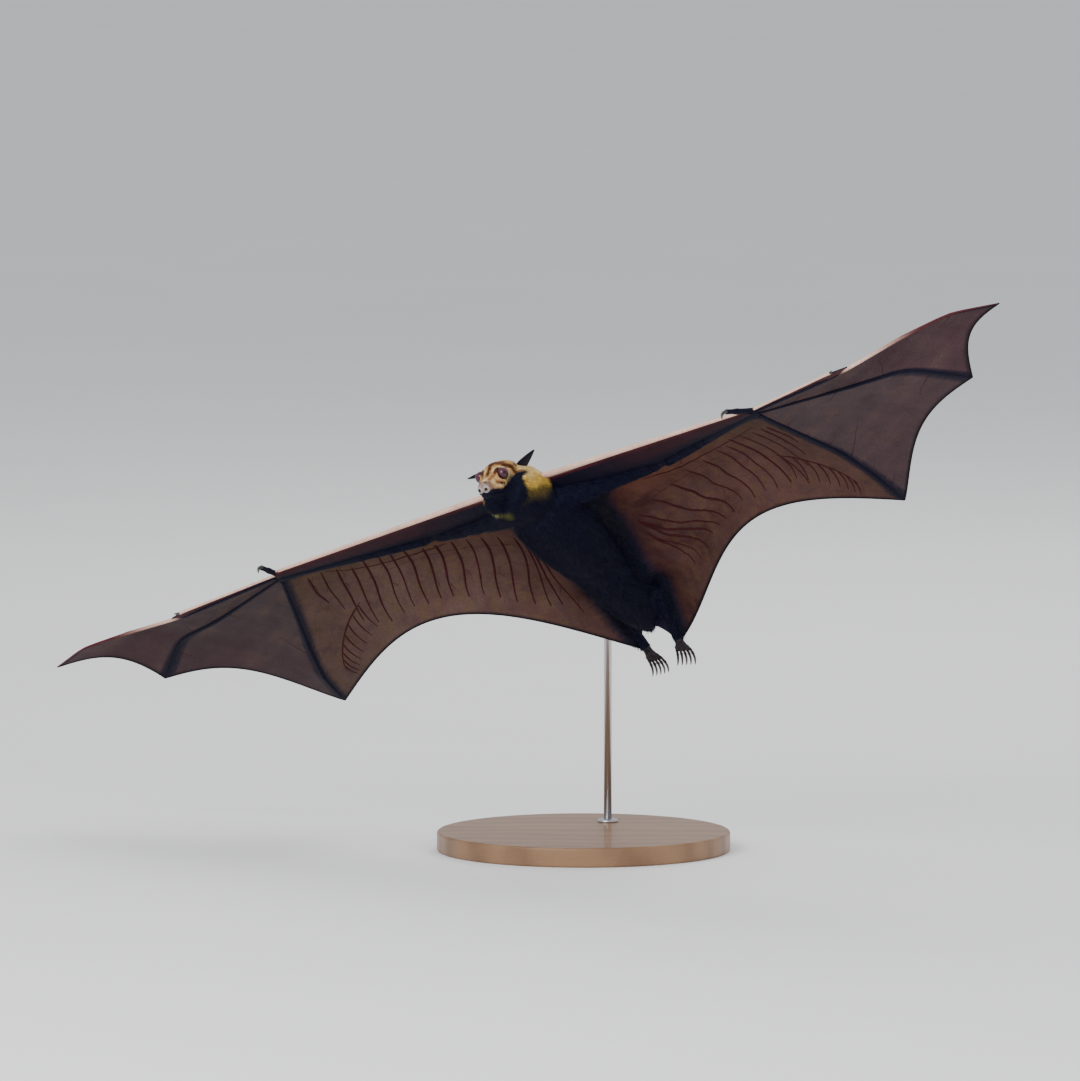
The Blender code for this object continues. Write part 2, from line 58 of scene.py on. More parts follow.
limbs = {
    "shoulder": (-5.0, 37.0, 4.0), "humerus": 110.0, "forearm": 168.0, "thumb": 34.0,
    "third": (118.0, 87.0, 58.0, 54.0), "fourth": (114.0, 62.0, 66.0), "fifth": (114.0, 42.0, 42.0),
    "palm": {"second": 5.4, "third": 1.9, "fourth": -1.8, "fifth": -5.6},  # where each finger starts
    "hip": (-146.0, 14.0, -9.0), "knee": (-157.0, 25.0, 5.0),
}
# Each bone of a wing: (sweep ahead, lift towards the back) in degrees. The edges: depth and outward lean.
wings = {
    "left": {
        "side": 1.0, "humerus": (-6.3, 5.2), "forearm": (15.5, -10.0),
        "third": ((9.0, -5.5), (-1.5, 15.5), (1.5, 6.0), (-12.5, 1.5)),
        "fourth": ((-7.5, 1.5), (-7.0, 3.5), (-39.0, 1.5)),
        "fifth": ((-77.0, 9.5), (-75.5, -3.5), (-82.0, -2.5)),
        "thumb": (0.80, -0.26, -0.55), "innerEdge": (78.0, 1.30), "middleEdge": (21.0, 1.15),
        "outerEdge": (17.0, 1.0), "ear": (11.4, 11.8, -15.4), "earFacing": (0.9, 0.35, 0.0),
        "ankle": (-216.0, 20.5, -26.0), "foot": (-0.90, -0.33, 0.0),
    },
    "right": {
        "side": -1.0, "humerus": (0.5, 5.7), "forearm": (17.0, -10.5),
        "third": ((4.5, -7.0), (-6.0, 11.0), (4.0, -2.0), (-19.0, 7.0)),
        "fourth": ((-15.0, 2.0), (-12.5, 9.0), (-37.5, -2.0)),
        "fifth": ((-67.0, 0.5), (-75.0, -9.0), (-82.5, 6.5)),
        "thumb": (0.89, -0.11, -0.43), "innerEdge": (97.0, 1.05), "middleEdge": (26.0, 1.25),
        "outerEdge": (22.0, 0.92), "ear": (-3.2, 24.5, -5.0), "earFacing": (0.7, 0.1, -0.7),
        "ankle": (-216.0, -21.5, -22.5), "foot": (-0.96, -0.10, -0.08),
    },
}


# Shader maths as expressions on sockets.
class Wire:
    def __init__(self, tree, socket=None):
        self.tree, self.socket = tree, socket

    def node(self, kind, settings=None, values=None, output=0):
        made = self.tree.nodes.new("ShaderNode" + kind)
        for key, value in (settings or {}).items():
            if key != "stops":
                setattr(made, key, value)
                continue
            made.color_ramp.elements.remove(made.color_ramp.elements[-1])
            for index, (place, colour) in enumerate(value):
                stop = made.color_ramp.elements.new(place) if index else made.color_ramp.elements[0]
                stop.position, stop.color = place, (*colour, 1.0)
        for key, value in (values or {}).items():
            if isinstance(value, Wire):
                self.tree.links.new(value.socket, made.inputs[key])
            else:
                made.inputs[key].default_value = value
        return Wire(self.tree, made.outputs[output])

    def maths(self, operation, *values):
        return self.node("Math", {"operation": operation}, dict(enumerate(values)))

    def __add__(self, other): return self.maths("ADD", self, other)
    def __radd__(self, other): return self.maths("ADD", other, self)
    def __sub__(self, other): return self.maths("SUBTRACT", self, other)
    def __rsub__(self, other): return self.maths("SUBTRACT", other, self)
    def __mul__(self, other): return self.maths("MULTIPLY", self, other)
    def __rmul__(self, other): return self.maths("MULTIPLY", other, self)

    def between(self, low, high):  # 0 below low, 1 above high
        return self.node("MapRange", {"interpolation_type": "SMOOTHSTEP"}, {0: self, 1: low, 2: high})

    def blend(self, first, second):  # self is the share of the second colour
        return self.node("Mix", {"data_type": "RGBA"}, {0: self, 6: (*first, 1.0), 7: (*second, 1.0)}, 2)

    def shaded(self, share, red, green, blue):  # this colour, darkened or lit by three values
        light = self.node("CombineColor", None, {0: red, 1: green, 2: blue})
        settings = {"data_type": "RGBA", "blend_type": "MULTIPLY"}
        return self.node("Mix", settings, {0: share, 6: self, 7: light}, 2)

    def noise(self, place, scale, detail=3.0, roughness=0.55):
        return self.node("TexNoise", None, {"Vector": place, "Scale": scale, "Detail": detail,
                                            "Roughness": roughness})

    def bump(self, height, distance, strength=1.0):
        return self.node("Bump", None, {"Height": height, "Distance": distance, "Strength": strength})

    def stretch(self, place, scale):
        return self.node("Mapping", None, {"Vector": place, "Scale": scale})


def makeFinish(name, wiring, roughness, constants=None):
    material = bpy.data.materials.new(name)
    material.use_nodes = True
    tree = material.node_tree
    shader = tree.nodes["Principled BSDF"]
    shader.inputs["Roughness"].default_value = roughness
    for key, value in (constants or {}).items():
        shader.inputs[key].default_value = value
    for key, value in wiring(Wire(tree)).items():
        tree.links.new(value.socket, shader.inputs[key])
    return material


def objectPlace(w): return w.node("TexCoord", None, None, 3)
def tintOf(w): return w.node("Attribute", {"attribute_name": "tint"})


# Small helpers on arrays of places.
def smooth(low, high, value):
    share = np.clip((value - low) / (high - low), 0.0, 1.0)
    return share * share * (3.0 - 2.0 * share)


def mixArray(base, colour, share):
    return base + (np.array(colour) - base) * np.reshape(share, (-1, 1))


def wobble(places, size, seed):  # a smooth wandering value between about -1 and 1
    dice = np.random.default_rng(seed)
    total = np.zeros(len(places))
    for turn in range(5):
        way = dice.normal(size=3)
        way *= math.tau / (size * dice.uniform(0.7, 1.6) * np.linalg.norm(way))
        total += np.sin(places @ way + dice.uniform(0.0, math.tau))
    return total / 2.6


def moved(matrix, places):
    turn = np.array(matrix.to_3x3())
    return places @ turn.T + np.array(matrix.translation)


def vertexArray(mesh, key="co"):
    values = np.empty(len(mesh.vertices) * 3, np.float32)
    mesh.vertices.foreach_get(key, values)
    return values.reshape(-1, 3).astype(float)


def placeVertices(mesh, places):
    mesh.vertices.foreach_set("co", places.astype(np.float32).ravel())
    mesh.update()


def tiled(colour, count):
    return np.tile(np.array(colour), (count, 1))


def paintTint(mesh, colours):
    layer = mesh.attributes.new("tint", "FLOAT_COLOR", "POINT")
    layer.data.foreach_set("color", np.c_[colours, np.ones(len(colours))].astype(np.float32).ravel())


def link(name, mesh):
    made = bpy.data.objects.new(name, mesh)
    bpy.context.scene.collection.objects.link(made)
    return made


def opened(mesh):
    builder = bmesh.new()
    builder.from_mesh(mesh)
    return builder


def relax(builder, corners, turns):
    for turn in range(turns):
        bmesh.ops.smooth_vert(builder, verts=corners, factor=0.5, use_axis_x=True, use_axis_y=True,
                              use_axis_z=True)


def fromBuilder(name, builder):
    mesh = bpy.data.meshes.new(name)
    builder.to_mesh(mesh)
    builder.free()
    return link(name, mesh)


def applyModifiers(made):
    bpy.context.view_layer.update()
    mesh = bpy.data.meshes.new_from_object(made.evaluated_get(bpy.context.evaluated_depsgraph_get()))
    old, name = made.data, made.name
    made.modifiers.clear()
    made.data = mesh
    bpy.data.meshes.remove(old)
    mesh.name = name
    return made


def joinAll(name, pieces):
    builder = bmesh.new()
    for piece in pieces:
        builder.from_mesh(piece.data)
        bpy.data.objects.remove(piece)
    return fromBuilder(name, builder)


def finishPiece(made, material, nodes):  # set in place, in metres
    made.data.transform(batToWorld)
    made.data.materials.clear()
    made.data.materials.append(material)
    made.data.shade_smooth()
    settle(made, nodes)


def settle(made, nodes):
    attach(made, "root")
    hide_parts(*nodes)


# Bones.
def boneVector(length, angles, side):
    sweep, lift = (math.radians(angle) for angle in angles)
    flat = length * math.cos(lift)
    return Vector((flat * math.sin(sweep), side * flat * math.cos(sweep), length * math.sin(lift)))


def chain(start, lengths, angles, side):
    joints = [start]
    for length, pair in zip(lengths, angles):
        joints.append(joints[-1] + boneVector(length, pair, side))
    return joints


def onChain(joints, share):
    runs = [(b - a).length for a, b in zip(joints, joints[1:])]
    rest = share * sum(runs)
    for start, end, run in zip(joints, joints[1:], runs):
        if rest <= run or end is joints[-1]:
            return start.lerp(end, rest / run)
        rest -= run


def sided(place, side):
    return Vector((place[0], side * place[1], place[2]))


bones = {}
for wingName, wing in wings.items():
    side = wing["side"]
    shoulder = sided(limbs["shoulder"], side)
    elbow = shoulder + boneVector(limbs["humerus"], wing["humerus"], side)
    wrist = elbow + boneVector(limbs["forearm"], wing["forearm"], side)
    thumbAxis = sided(wing["thumb"], side).normalized()
    thumbRoot = wrist + Vector((4.0, side * -2.5, 0.0))
    spread = {key: wrist + Vector((ahead, side, 0.0)) for key, ahead in limbs["palm"].items()}
    fingers = {key: [spread[key]] + chain(wrist, limbs[key], wing[key], side)[1:]
               for key in ("third", "fourth", "fifth")}
    fingers["second"] = [spread["second"], fingers["third"][1] + Vector((7.0, 0.0, -1.0))]
    bones[wingName] = {
        "shoulder": shoulder, "elbow": elbow, "wrist": wrist, "thumbAxis": thumbAxis,
        "thumbRoot": thumbRoot, "thumbTip": thumbRoot + thumbAxis * limbs["thumb"], "fingers": fingers,
        "hip": sided(limbs["hip"], side), "knee": sided(limbs["knee"], side), "ankle": Vector(wing["ankle"]),
    }


# A limb: one ring drawn along a path by extrusion, each radius one number or (across, towards the back).
def tube(builder, path, radii, sides=12, back=Vector((0.0, 0.0, 1.0)), blunt=0.5):
    frames = []
    for index, place in enumerate(path):
        along = (path[min(index + 1, len(path) - 1)] - path[max(index - 1, 0)]).normalized()
        across = back.cross(along).normalized()
        upward = along.cross(across)
        radius = radii[index]
        wide, deep = radius if isinstance(radius, tuple) else (radius, radius)
        turn = Matrix((across, upward, along)).transposed().to_4x4()
        frames.append(Matrix.Translation(place) @ turn @ Matrix.Diagonal((wide, deep, 1.0, 1.0)))
    first = bmesh.ops.create_circle(builder, segments=sides, radius=1.0, matrix=frames[0])["verts"]
    edges = list({edge for corner in first for edge in corner.link_edges})
    rings = [first]
    for before, after in zip(frames, frames[1:]):
        drawn = bmesh.ops.extrude_edge_only(builder, edges=edges)["geom"]
        corners = [item for item in drawn if isinstance(item, bmesh.types.BMVert)]
        edges = [item for item in drawn if isinstance(item, bmesh.types.BMEdge)]
        bmesh.ops.transform(builder, matrix=after @ before.inverted(), verts=corners)
        rings.append(corners)
    for ring, place, beyond, radius in ((rings[0], path[0], path[1], radii[0]),
                                        (rings[-1], path[-1], path[-2], radii[-1])):
        radius = max(radius) if isinstance(radius, tuple) else radius
        cap = bmesh.ops.contextual_create(builder, geom=ring)["faces"]
        centre = bmesh.ops.poke(builder, faces=cap)["verts"]
        centre[0].co = place + (place - beyond).normalized() * radius * blunt
    bmesh.ops.recalc_face_normals(builder, faces=builder.faces)
    return builder


def easePath(path, radii, steps):  # a smooth run through the stations of a limb
    places, sizes = [], []
    radii = [radius if isinstance(radius, tuple) else (radius, radius) for radius in radii]
    count = len(path) - 1
    for index in range(count):
        p = [path[max(index - 1, 0)], path[index], path[index + 1], path[min(index + 2, count)]]
        for step in range(steps):
            t = step / steps
            bend = (2.0 * p[0] - 5.0 * p[1] + 4.0 * p[2] - p[3]) * t * t
            turn = (3.0 * p[1] - p[0] - 3.0 * p[2] + p[3]) * t ** 3
            places.append(0.5 * (2.0 * p[1] + (p[2] - p[0]) * t + bend + turn))
            ease = t * t * (3.0 - 2.0 * t)
            sizes.append(tuple(a + (b - a) * ease for a, b in zip(radii[index], radii[index + 1])))
    return places + [path[-1]], sizes + [radii[-1]]


# Markings and painted shade, the same for skin and coat, from places on the bat.
marks = {
    "black": (0.0046, 0.0054, 0.0205), "backFrost": (0.040, 0.032, 0.026), "mantle": (0.64, 0.41, 0.080),
    "mantlePale": (0.78, 0.59, 0.27), "mantleDim": (0.125, 0.085, 0.022), "throat": (0.48, 0.45, 0.165),
    "throatDim": (0.080, 0.078, 0.028), "golden": (0.62, 0.37, 0.14), "pale": (0.84, 0.61, 0.32),
    "amber": (0.34, 0.140, 0.052), "rufous": (0.095, 0.026, 0.009), "crown": (0.165, 0.056, 0.025),
    "ring": (0.46, 0.37, 0.19), "tan": (0.36, 0.215, 0.135), "nose": (0.285, 0.212, 0.180),
    # the cheek and shade tints are painted shade
    "cheek": (0.150, 0.130, 0.070), "shade": (0.060, 0.032, 0.020), "lid": (0.012, 0.005, 0.007),
    "ear": (0.0075, 0.0055, 0.0095), "bareNose": (0.250, 0.185, 0.165), "nostrilRim": (0.37, 0.315, 0.30),
    # the nostril tint is painted shade inside the nostril hollows
    "nostril": (0.004, 0.003, 0.004), "underCoat": 0.62,  # the skin is darker than the fur over it
    # (ahead, up) along the line below which the face is black
    "blackLine": ((-40.0, -9.0), (-24.0, -8.0), (-18.0, -7.5), (-11.0, -8.0), (-5.0, -10.8), (0.0, -13.2),
                  (4.5, -15.0), (11.0, -15.3), (18.0, -13.2), (25.0, -11.8), (30.0, -12.4), (36.0, -13.2)),
}
faceStrokes = (  # soft strokes on each side of the face: start, end, half width, tint
    ((5.0, 9.0, 6.5), (-4.5, 14.0, 4.5), 3.2, "pale"),
    ((3.0, 5.2, 7.5), (7.5, 5.4, 4.2), 2.4, "pale"),
    ((15.5, 8.8, -3.2), (20.5, 8.6, -6.2), 2.6, "pale"),
    ((20.5, 2.0, -0.8), (25.0, 1.5, -1.6), 2.4, "pale"),
    ((17.5, 10.0, -10.5), (8.0, 12.6, -12.8), 2.0, "pale"),
    ((-6.0, 0.0, 9.5), (14.5, 0.0, 1.5), 2.5, "rufous"),
    ((4.5, 8.0, 4.6), (13.0, 6.8, 0.0), 2.1, "rufous"),
    ((12.3, 6.9, 0.2), (20.5, 4.2, -2.2), 2.1, "amber"),
    ((-9.0, 11.0, 7.0), (-16.5, 15.0, 0.0), 3.4, "rufous"),
    ((-16.5, 15.0, 0.0), (-15.5, 17.5, -4.5), 3.6, "rufous"),
    ((-8.0, 15.5, 1.5), (-6.5, 15.5, -5.5), 2.4, "ring"),
    # painted shade: a dim grey-olive on the lower cheek, where it faces down
    ((-9.0, 17.5, -7.0), (-0.5, 15.0, -11.5), 2.4, "cheek"),
    ((15.0, 9.6, -6.8), (9.5, 11.2, -9.8), 1.8, "amber"),
    ((9.5, 11.2, -9.8), (4.6, 12.7, -12.0), 1.6, "shade"),
    ((29.6, 3.2, -3.8), (28.2, 3.0, -3.2), 1.3, "shade"),
)
throatStrokes = (  # the same, in the body's frame; the throat tint is pale fur, partly painted light to make up for the shade under the head
    ((54.0, -32.0, -15.5), (50.0, -26.5, -26.0), 5.6, "throat"),
    ((50.0, -26.5, -26.0), (43.0, -17.0, -35.5), 5.6, "throat"),
    ((44.0, -12.0, -39.0), (36.0, -6.0, -40.0), 6.5, "throatDim"),
)


def awayFrom(places, start, end):  # distances from a straight run
    run = np.subtract(end, start)
    along = np.clip((places - start) @ run / (run @ run), 0.0, 1.0)
    return np.linalg.norm(places - start - along[:, None] * run, axis=1)


def strokeShare(places, start, end, radius):
    return smooth(radius * 1.4, radius * 0.6, awayFrom(places, start, end))


def eyeView(local, way):  # offsets from an eyeball, their lengths, its gaze, and the degrees off the gaze
    gaze = np.array(headPlan["gaze"].normalized()) * (1.0, way, 1.0)
    offset = local - np.array(headPlan["eye"]) * (1.0, way, 1.0)
    far = np.linalg.norm(offset, axis=1)
    tilt = np.degrees(np.arccos(np.clip((offset @ gaze) / np.maximum(far, 1e-6), -1.0, 1.0)))
    return offset, far, gaze, tilt


def coatColours(places):
    x, y, z = places.T
    ahead, aside, up = moved(batToHead, places).T
    side = np.abs(aside)
    shift = wobble(places, 14.0, 3) * 1.6 + wobble(places, 4.5, 4) * 0.9
    colour = tiled(marks["black"], len(places))
    back = smooth(6.0, 26.0, z + shift) * smooth(-190.0, -30.0, x)
    colour = mixArray(colour, marks["backFrost"], 0.7 * back)

    # mantle: a collar between the shoulders and the head, fading to black down the throat
    rise = z + 0.67 * (x - 25.0) + shift
    front = np.interp(z, (-30.0, -13.0, -6.0), (42.0, 54.5, 58.5))
    rear = 21.0 - 24.0 * smooth(6.0, 22.0, z)
    collar = smooth(-2.5, 2.5, front - x + shift) * smooth(-3.5, 2.5, x - rear + shift)
    collar *= 1.0 - smooth(31.0, 39.0, np.abs(y))
    colour = mixArray(colour, marks["mantleDim"], collar * smooth(-25.0, -12.0, rise))
    colour = mixArray(colour, marks["mantle"], collar * smooth(-12.0, -1.0, rise))
    colour = mixArray(colour, marks["mantlePale"], collar * 0.85 * smooth(4.0, 14.0, rise + 0.3 * np.abs(z)))
    for start, end, radius, tint in throatStrokes:
        colour = mixArray(colour, marks[tint], strokeShare(places, start, end, radius))

    # head: a golden face up to the black line, with a rufous crown and the strokes of the spectacles
    onHead = smooth(-37.5, -34.5, ahead + 0.12 * np.maximum(up, 0.0)) * (x > 40.0) * (side < 26.0)
    onHead *= smooth(-23.0, -19.5, ahead - 1.2 * (up + 5.0) * (up < -5.0)) * (up < 0.0) + (up >= 0.0)
    face = tiled(marks["golden"], len(places))
    crown = smooth(1.5, -2.5, ahead + 0.45 * side + 0.5 * shift) * smooth(0.0, 3.0, up)
    face = mixArray(face, marks["crown"], crown * smooth(-27.0, -15.0, ahead - 0.5 * side + shift))
    face = mixArray(face, marks["tan"], smooth(20.0, 25.0, ahead + shift * 0.6))
    local = np.stack([ahead, side, up], 1)
    flat = local + (shift * 0.14)[:, None]
    for start, end, radius, tint in faceStrokes:
        face = mixArray(face, marks[tint], strokeShare(flat, start, end, radius))
    face = mixArray(face, marks["nose"], smooth(27.0, 30.5, ahead + shift * 0.5) * (0.35 + 0.65 * smooth(
        2.6, 4.0, np.linalg.norm(flat - (29.0, 3.3, -3.2), axis=1))))
    line = np.array(marks["blackLine"])
    below = up - np.interp(ahead, line[:, 0], line[:, 1]) + shift * 0.3
    face = mixArray(face, marks["black"], smooth(1.0, -1.0, below))
    offset, far, gaze, tilt = eyeView(local, 1.0)
    face = mixArray(face, marks["lid"], smooth(9.2, 8.2, far) * smooth(66.0, 58.0, tilt))
    return colour * (1.0 - onHead[:, None]) + face * onHead[:, None]


# The lie, depth and length of the coat along each part of the body, as it runs from start to end.
def region(start, end, radius, depth, length, width, lift, density):
    return {"start": np.array(start), "end": np.array(end), "radius": radius, "depth": depth,
            "length": length, "width": width, "lift": lift, "density": density}


noseTip = headToBat @ Vector((34.0, 0.0, -9.0))
browMid = headToBat @ Vector((2.0, 0.0, -7.0))
skullBack = headToBat @ Vector((-34.0, 0.0, -8.0))
regions = {
    "muzzle": region(noseTip, browMid, 11.0, 0.5, 2.3, 0.36, 13.0, 2.4),
    "skull": region(browMid, skullBack, 18.0, 1.6, 5.0, 0.55, 20.0, 1.7),
    "neck": region(skullBack, (12.0, 0.0, -5.0), 32.0, 4.6, 9.5, 0.72, 24.0, 1.25),
    "trunk": region((10.0, 0.0, -4.0), (-185.0, 0.0, -17.0), 33.0, 4.0, 12.0, 0.95, 20.0, 0.80),
}
for wingName, bone in bones.items():
    middle = bone["shoulder"].lerp(bone["elbow"], 0.5)
    regions["shoulder_" + wingName] = region(bone["shoulder"], middle, 14.0, 3.0, 9.0, 0.85, 20.0, 0.85)
    regions["upperArm_" + wingName] = region(middle, bone["elbow"], 10.0, 1.8, 7.0, 0.75, 16.0, 0.95)
    half = bone["elbow"].lerp(bone["wrist"], 0.45)
    regions["forearm_" + wingName] = region(bone["elbow"], half, 6.5, 0.7, 4.5, 0.55, 10.0, 1.1)
    regions["bareArm_" + wingName] = region(half, bone["wrist"], 4.5, 0.15, 2.4, 0.4, 8.0, 0.35)
    regions["thigh_" + wingName] = region(bone["hip"], bone["knee"], 9.0, 2.0, 7.0, 0.75, 20.0, 0.9)
    regions["shank_" + wingName] = region(bone["knee"], bone["ankle"], 7.5, 1.9, 6.5, 0.7, 20.0, 1.0)
regionKeys = list(regions)


def readRegions(places):  # shares of each region, and the blended lie and sizes
    closeness = [(awayFrom(places, item["start"], item["end"]) / item["radius"] + 0.05) ** -6.0
                 for item in regions.values()]
    shares = np.array(closeness)
    shares /= shares.sum(0)
    lie = sum(share[:, None] * (item["end"] - item["start"]) / np.linalg.norm(item["end"] - item["start"])
              for share, item in zip(shares, regions.values()))
    sizes = {key: sum(share * item[key] for share, item in zip(shares, regions.values()))
             for key in ("depth", "length", "width", "lift", "density")}
    return shares, lie, sizes


# Body skin: copies of the flesh solids, rounded, grown together, then drawn in by the coat's depth.
skinPlan = {"rounding": 2, "grow": 2.6, "voxel": 1.75, "relax": 7}
fleshNodes = ["head", "neck", "trunk"]
for wingName in wings:
    fleshNodes += [part + wingName for part in ("upper_arm_", "forearm_", "thigh_", "shank_")]


def nodeCopy(node):
    builder = opened(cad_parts[node].data)
    bmesh.ops.remove_doubles(builder, verts=builder.verts, dist=2e-6)
    bmesh.ops.transform(builder, matrix=worldToBat, verts=builder.verts)
    made = fromBuilder(node + "_copy", builder)
    rounder = made.modifiers.new("rounding", "SUBSURF")
    rounder.levels = rounder.render_levels = skinPlan["rounding"]
    return applyModifiers(made)


copies = [nodeCopy(node) for node in fleshNodes]
for copy in copies:
    placeVertices(copy.data, vertexArray(copy.data) + vertexArray(copy.data, "normal") * skinPlan["grow"])
skin = joinAll("body_skin", copies)
grower = skin.modifiers.new("grown together", "REMESH")
grower.mode = "VOXEL"
grower.voxel_size = skinPlan["voxel"]
applyModifiers(skin)
builder = opened(skin.data)
relax(builder, builder.verts, skinPlan["relax"])
builder.to_mesh(skin.data)
builder.free()
places, normals = vertexArray(skin.data), vertexArray(skin.data, "normal")
inner = places - normals * skinPlan["grow"]
depths = readRegions(inner)[2]["depth"]
placeVertices(skin.data, inner - normals * depths[:, None])
print("body skin", len(skin.data.vertices), "vertices")

# Head: finer skin, then lids, brows, nostrils and mouth.
headPlan = {
    "fineFrom": -36.0, "finestFrom": -9.0, "eyeRadius": 6.15, "eye": Vector((2.5, 12.0, -2.0)),
    "gaze": Vector((0.64, 0.73, 0.24)), "lidOpening": 52.0, "socketOpening": 76.0, "lidThickness": 0.9,
    "nostril": Vector((32.8, 3.4, -10.4)), "nostrilAxis": (0.88, 0.42, 0.10),
    # centre, reach and height of the brow, the hollow before the eye, the cheek, the bridge and the nose pads
    "swells": (((1.0, 11.0, 7.0), 4.5, 1.1), ((12.0, 8.5, -3.0), 5.0, -1.3), ((-8.0, 17.0, -9.0), 6.0, 0.9),
               ((18.0, 0.0, 0.5), 5.0, -0.6), ((30.0, 4.0, -10.0), 3.0, 0.8), ((26.0, 6.0, -15.5), 3.5, 0.6)),
    "mouth": ((6.0, -19.0), (14.0, -18.0), (24.0, -17.0), (31.0, -16.2)),  # (ahead, up) along the lips
}
builder = opened(skin.data)
for limit in (headPlan["fineFrom"], headPlan["finestFrom"]):
    chosen = []
    for face in builder.faces:
        place = batToHead @ face.calc_center_median()
        if place.x > limit and abs(place.y) < 26.0 and place.z > -28.0:
            chosen.append(face)
    edges = list({edge for face in chosen for edge in face.edges})
    bmesh.ops.subdivide_edges(builder, edges=edges, cuts=1, use_grid_fill=True)
nearHead = [corner for corner in builder.verts if (batToHead @ corner.co).x > -34.0]
relax(builder, nearHead, 3)
bmesh.ops.triangulate(builder, faces=builder.faces)
builder.to_mesh(skin.data)
builder.free()


def sculptHead(mesh):
    places = vertexArray(mesh)
    local = moved(batToHead, places)
    normals = vertexArray(mesh, "normal") @ np.array(batToHead.to_3x3()).T
    ahead, aside, up = local.T
    push = np.zeros(len(local))
    flat = np.stack([ahead, np.abs(aside), up], 1)
    for centre, reach, height in headPlan["swells"]:
        push += height * np.exp(-((flat - np.array(centre)) ** 2).sum(1) / reach ** 2)
    # mouth line and the groove between the nostrils
    lip = np.interp(ahead, *zip(*headPlan["mouth"]))
    push -= 0.8 * np.exp(-((up - lip) / 0.8) ** 2) * smooth(5.0, 9.0, ahead) * smooth(-6.0, -9.0, up)
    push -= 1.0 * np.exp(-(aside / 0.8) ** 2) * smooth(30.0, 32.0, ahead) * smooth(-16.5, -14.5, up)
    local = local + normals * (push * smooth(-30.0, -24.0, ahead))[:, None]
    # nostrils: short tubes turned a little aside, each with a hollow
    for way in (-1.0, 1.0):
        centre = np.array(headPlan["nostril"]) * (1.0, way, 1.0)
        axis = np.array(headPlan["nostrilAxis"]) * (1.0, way, 1.0)
        axis /= np.linalg.norm(axis)
        offset = local - centre
        depth = offset @ axis
        ring = np.linalg.norm(offset - depth[:, None] * axis, axis=1)
        near = smooth(6.5, 3.5, np.linalg.norm(offset, axis=1))
        rim = 1.0 * np.exp(-((ring - 2.2) / 0.9) ** 2) * near
        pit = 3.0 * smooth(1.9, 0.9, ring) * near
        local = local + axis * (rim - pit)[:, None]
    # lids are drawn over the eyeball to the opening, and inside it the skin drops behind the eye
    for way in (-1.0, 1.0):
        offset, far, gaze, tilt = eyeView(local, way)
        centre = local - offset
        upper = offset[:, 2] / np.maximum(far, 1e-6)
        opening = headPlan["lidOpening"] + 5.0 * smooth(0.2, -0.9, upper) - 5.0 * smooth(0.2, 0.9, upper)
        closing = (headPlan["socketOpening"] - opening) * smooth(126.0, 72.0, tilt) * smooth(11.5, 8.0, far)
        outward = offset - gaze * (offset @ gaze)[:, None]
        outward /= np.maximum(np.linalg.norm(outward, axis=1), 1e-6)[:, None]
        tilt = tilt - closing
        drawn = np.radians(tilt)[:, None]
        drawn = far[:, None] * (gaze * np.cos(drawn) + outward * np.sin(drawn))
        offset = np.where((closing > 0.0)[:, None], drawn, offset)
        lidFar = headPlan["eyeRadius"] + headPlan["lidThickness"]
        lidFar = lidFar + 0.7 * np.exp(-((tilt - opening - 5.0) / 6.0) ** 2)
        wrapped = np.where(far < 11.5, np.maximum(far, lidFar * smooth(13.0, 11.0, far)), far)
        settleShare = smooth(11.0, 8.0, far)
        settled = np.minimum(wrapped, lidFar + 0.5 * np.maximum(far - lidFar, 0.0))
        wrapped = wrapped * (1.0 - settleShare) + settled * settleShare
        sunk = headPlan["eyeRadius"] - 1.6
        target = np.where(tilt < opening, sunk, wrapped)
        target = np.where((tilt >= opening) & (tilt < opening + 4.0), np.minimum(target, lidFar), target)
        change = (far < 11.5) & (tilt < 118.0)
        scale = np.where(change, target / np.maximum(far, 1e-6), 1.0)
        local = centre + offset * scale[:, None]
    placeVertices(mesh, moved(headToBat, local))


sculptHead(skin.data)
print("head sculpted", len(skin.data.polygons), "triangles")


# Eyes.
eyePlan = {"iris": (0.066, 0.008, 0.024), "outer": (0.030, 0.005, 0.012), "pupil": (0.012, 0.003, 0.006)}


def eyeWiring(w):
    return {"Base Color": tintOf(w)}


eyeFinish = makeFinish("eye wet", eyeWiring, 0.3, {"Coat Weight": 0.75, "Coat Roughness": 0.17,
                                                   "Specular IOR Level": 0.1})
for wingName, wing in wings.items():
    builder = bmesh.new()
    bmesh.ops.create_uvsphere(builder, u_segments=48, v_segments=32, radius=headPlan["eyeRadius"])
    gaze = sided(headPlan["gaze"], wing["side"]).normalized()
    aim = gaze.to_track_quat("Z", "Y").to_matrix().to_4x4()
    for corner in builder.verts:  # the clear front bulges a little
        bulge = max(corner.co.normalized().z - 0.62, 0.0) / 0.38
        corner.co *= 1.0 + 0.035 * bulge
    eye = fromBuilder("eyeball_" + wingName, builder)
    across = vertexArray(eye.data)
    off = np.degrees(np.arccos(np.clip(across[:, 2] / np.linalg.norm(across, axis=1), -1.0, 1.0)))
    spokes = 0.93 + 0.14 * np.abs(np.sin(np.arctan2(across[:, 1], across[:, 0]) * 11.0))
    colours = tiled(eyePlan["iris"], len(off)) * spokes[:, None]
    colours = mixArray(colours, eyePlan["outer"], smooth(46.0, 64.0, off))
    colours = mixArray(colours, eyePlan["pupil"], smooth(19.0, 14.0, off))
    seat = Matrix.Translation(sided(headPlan["eye"], wing["side"]))
    level = moved(aim, across)[:, 2]  # painted shade: darker towards the lower lid
    paintTint(eye.data, colours * (0.35 + 0.75 * smooth(-4.5, 3.5, level))[:, None])
    eye.data.transform(headToBat @ seat @ aim)
    finishPiece(eye, eyeFinish, ["eye_" + wingName])
print("eyes set")


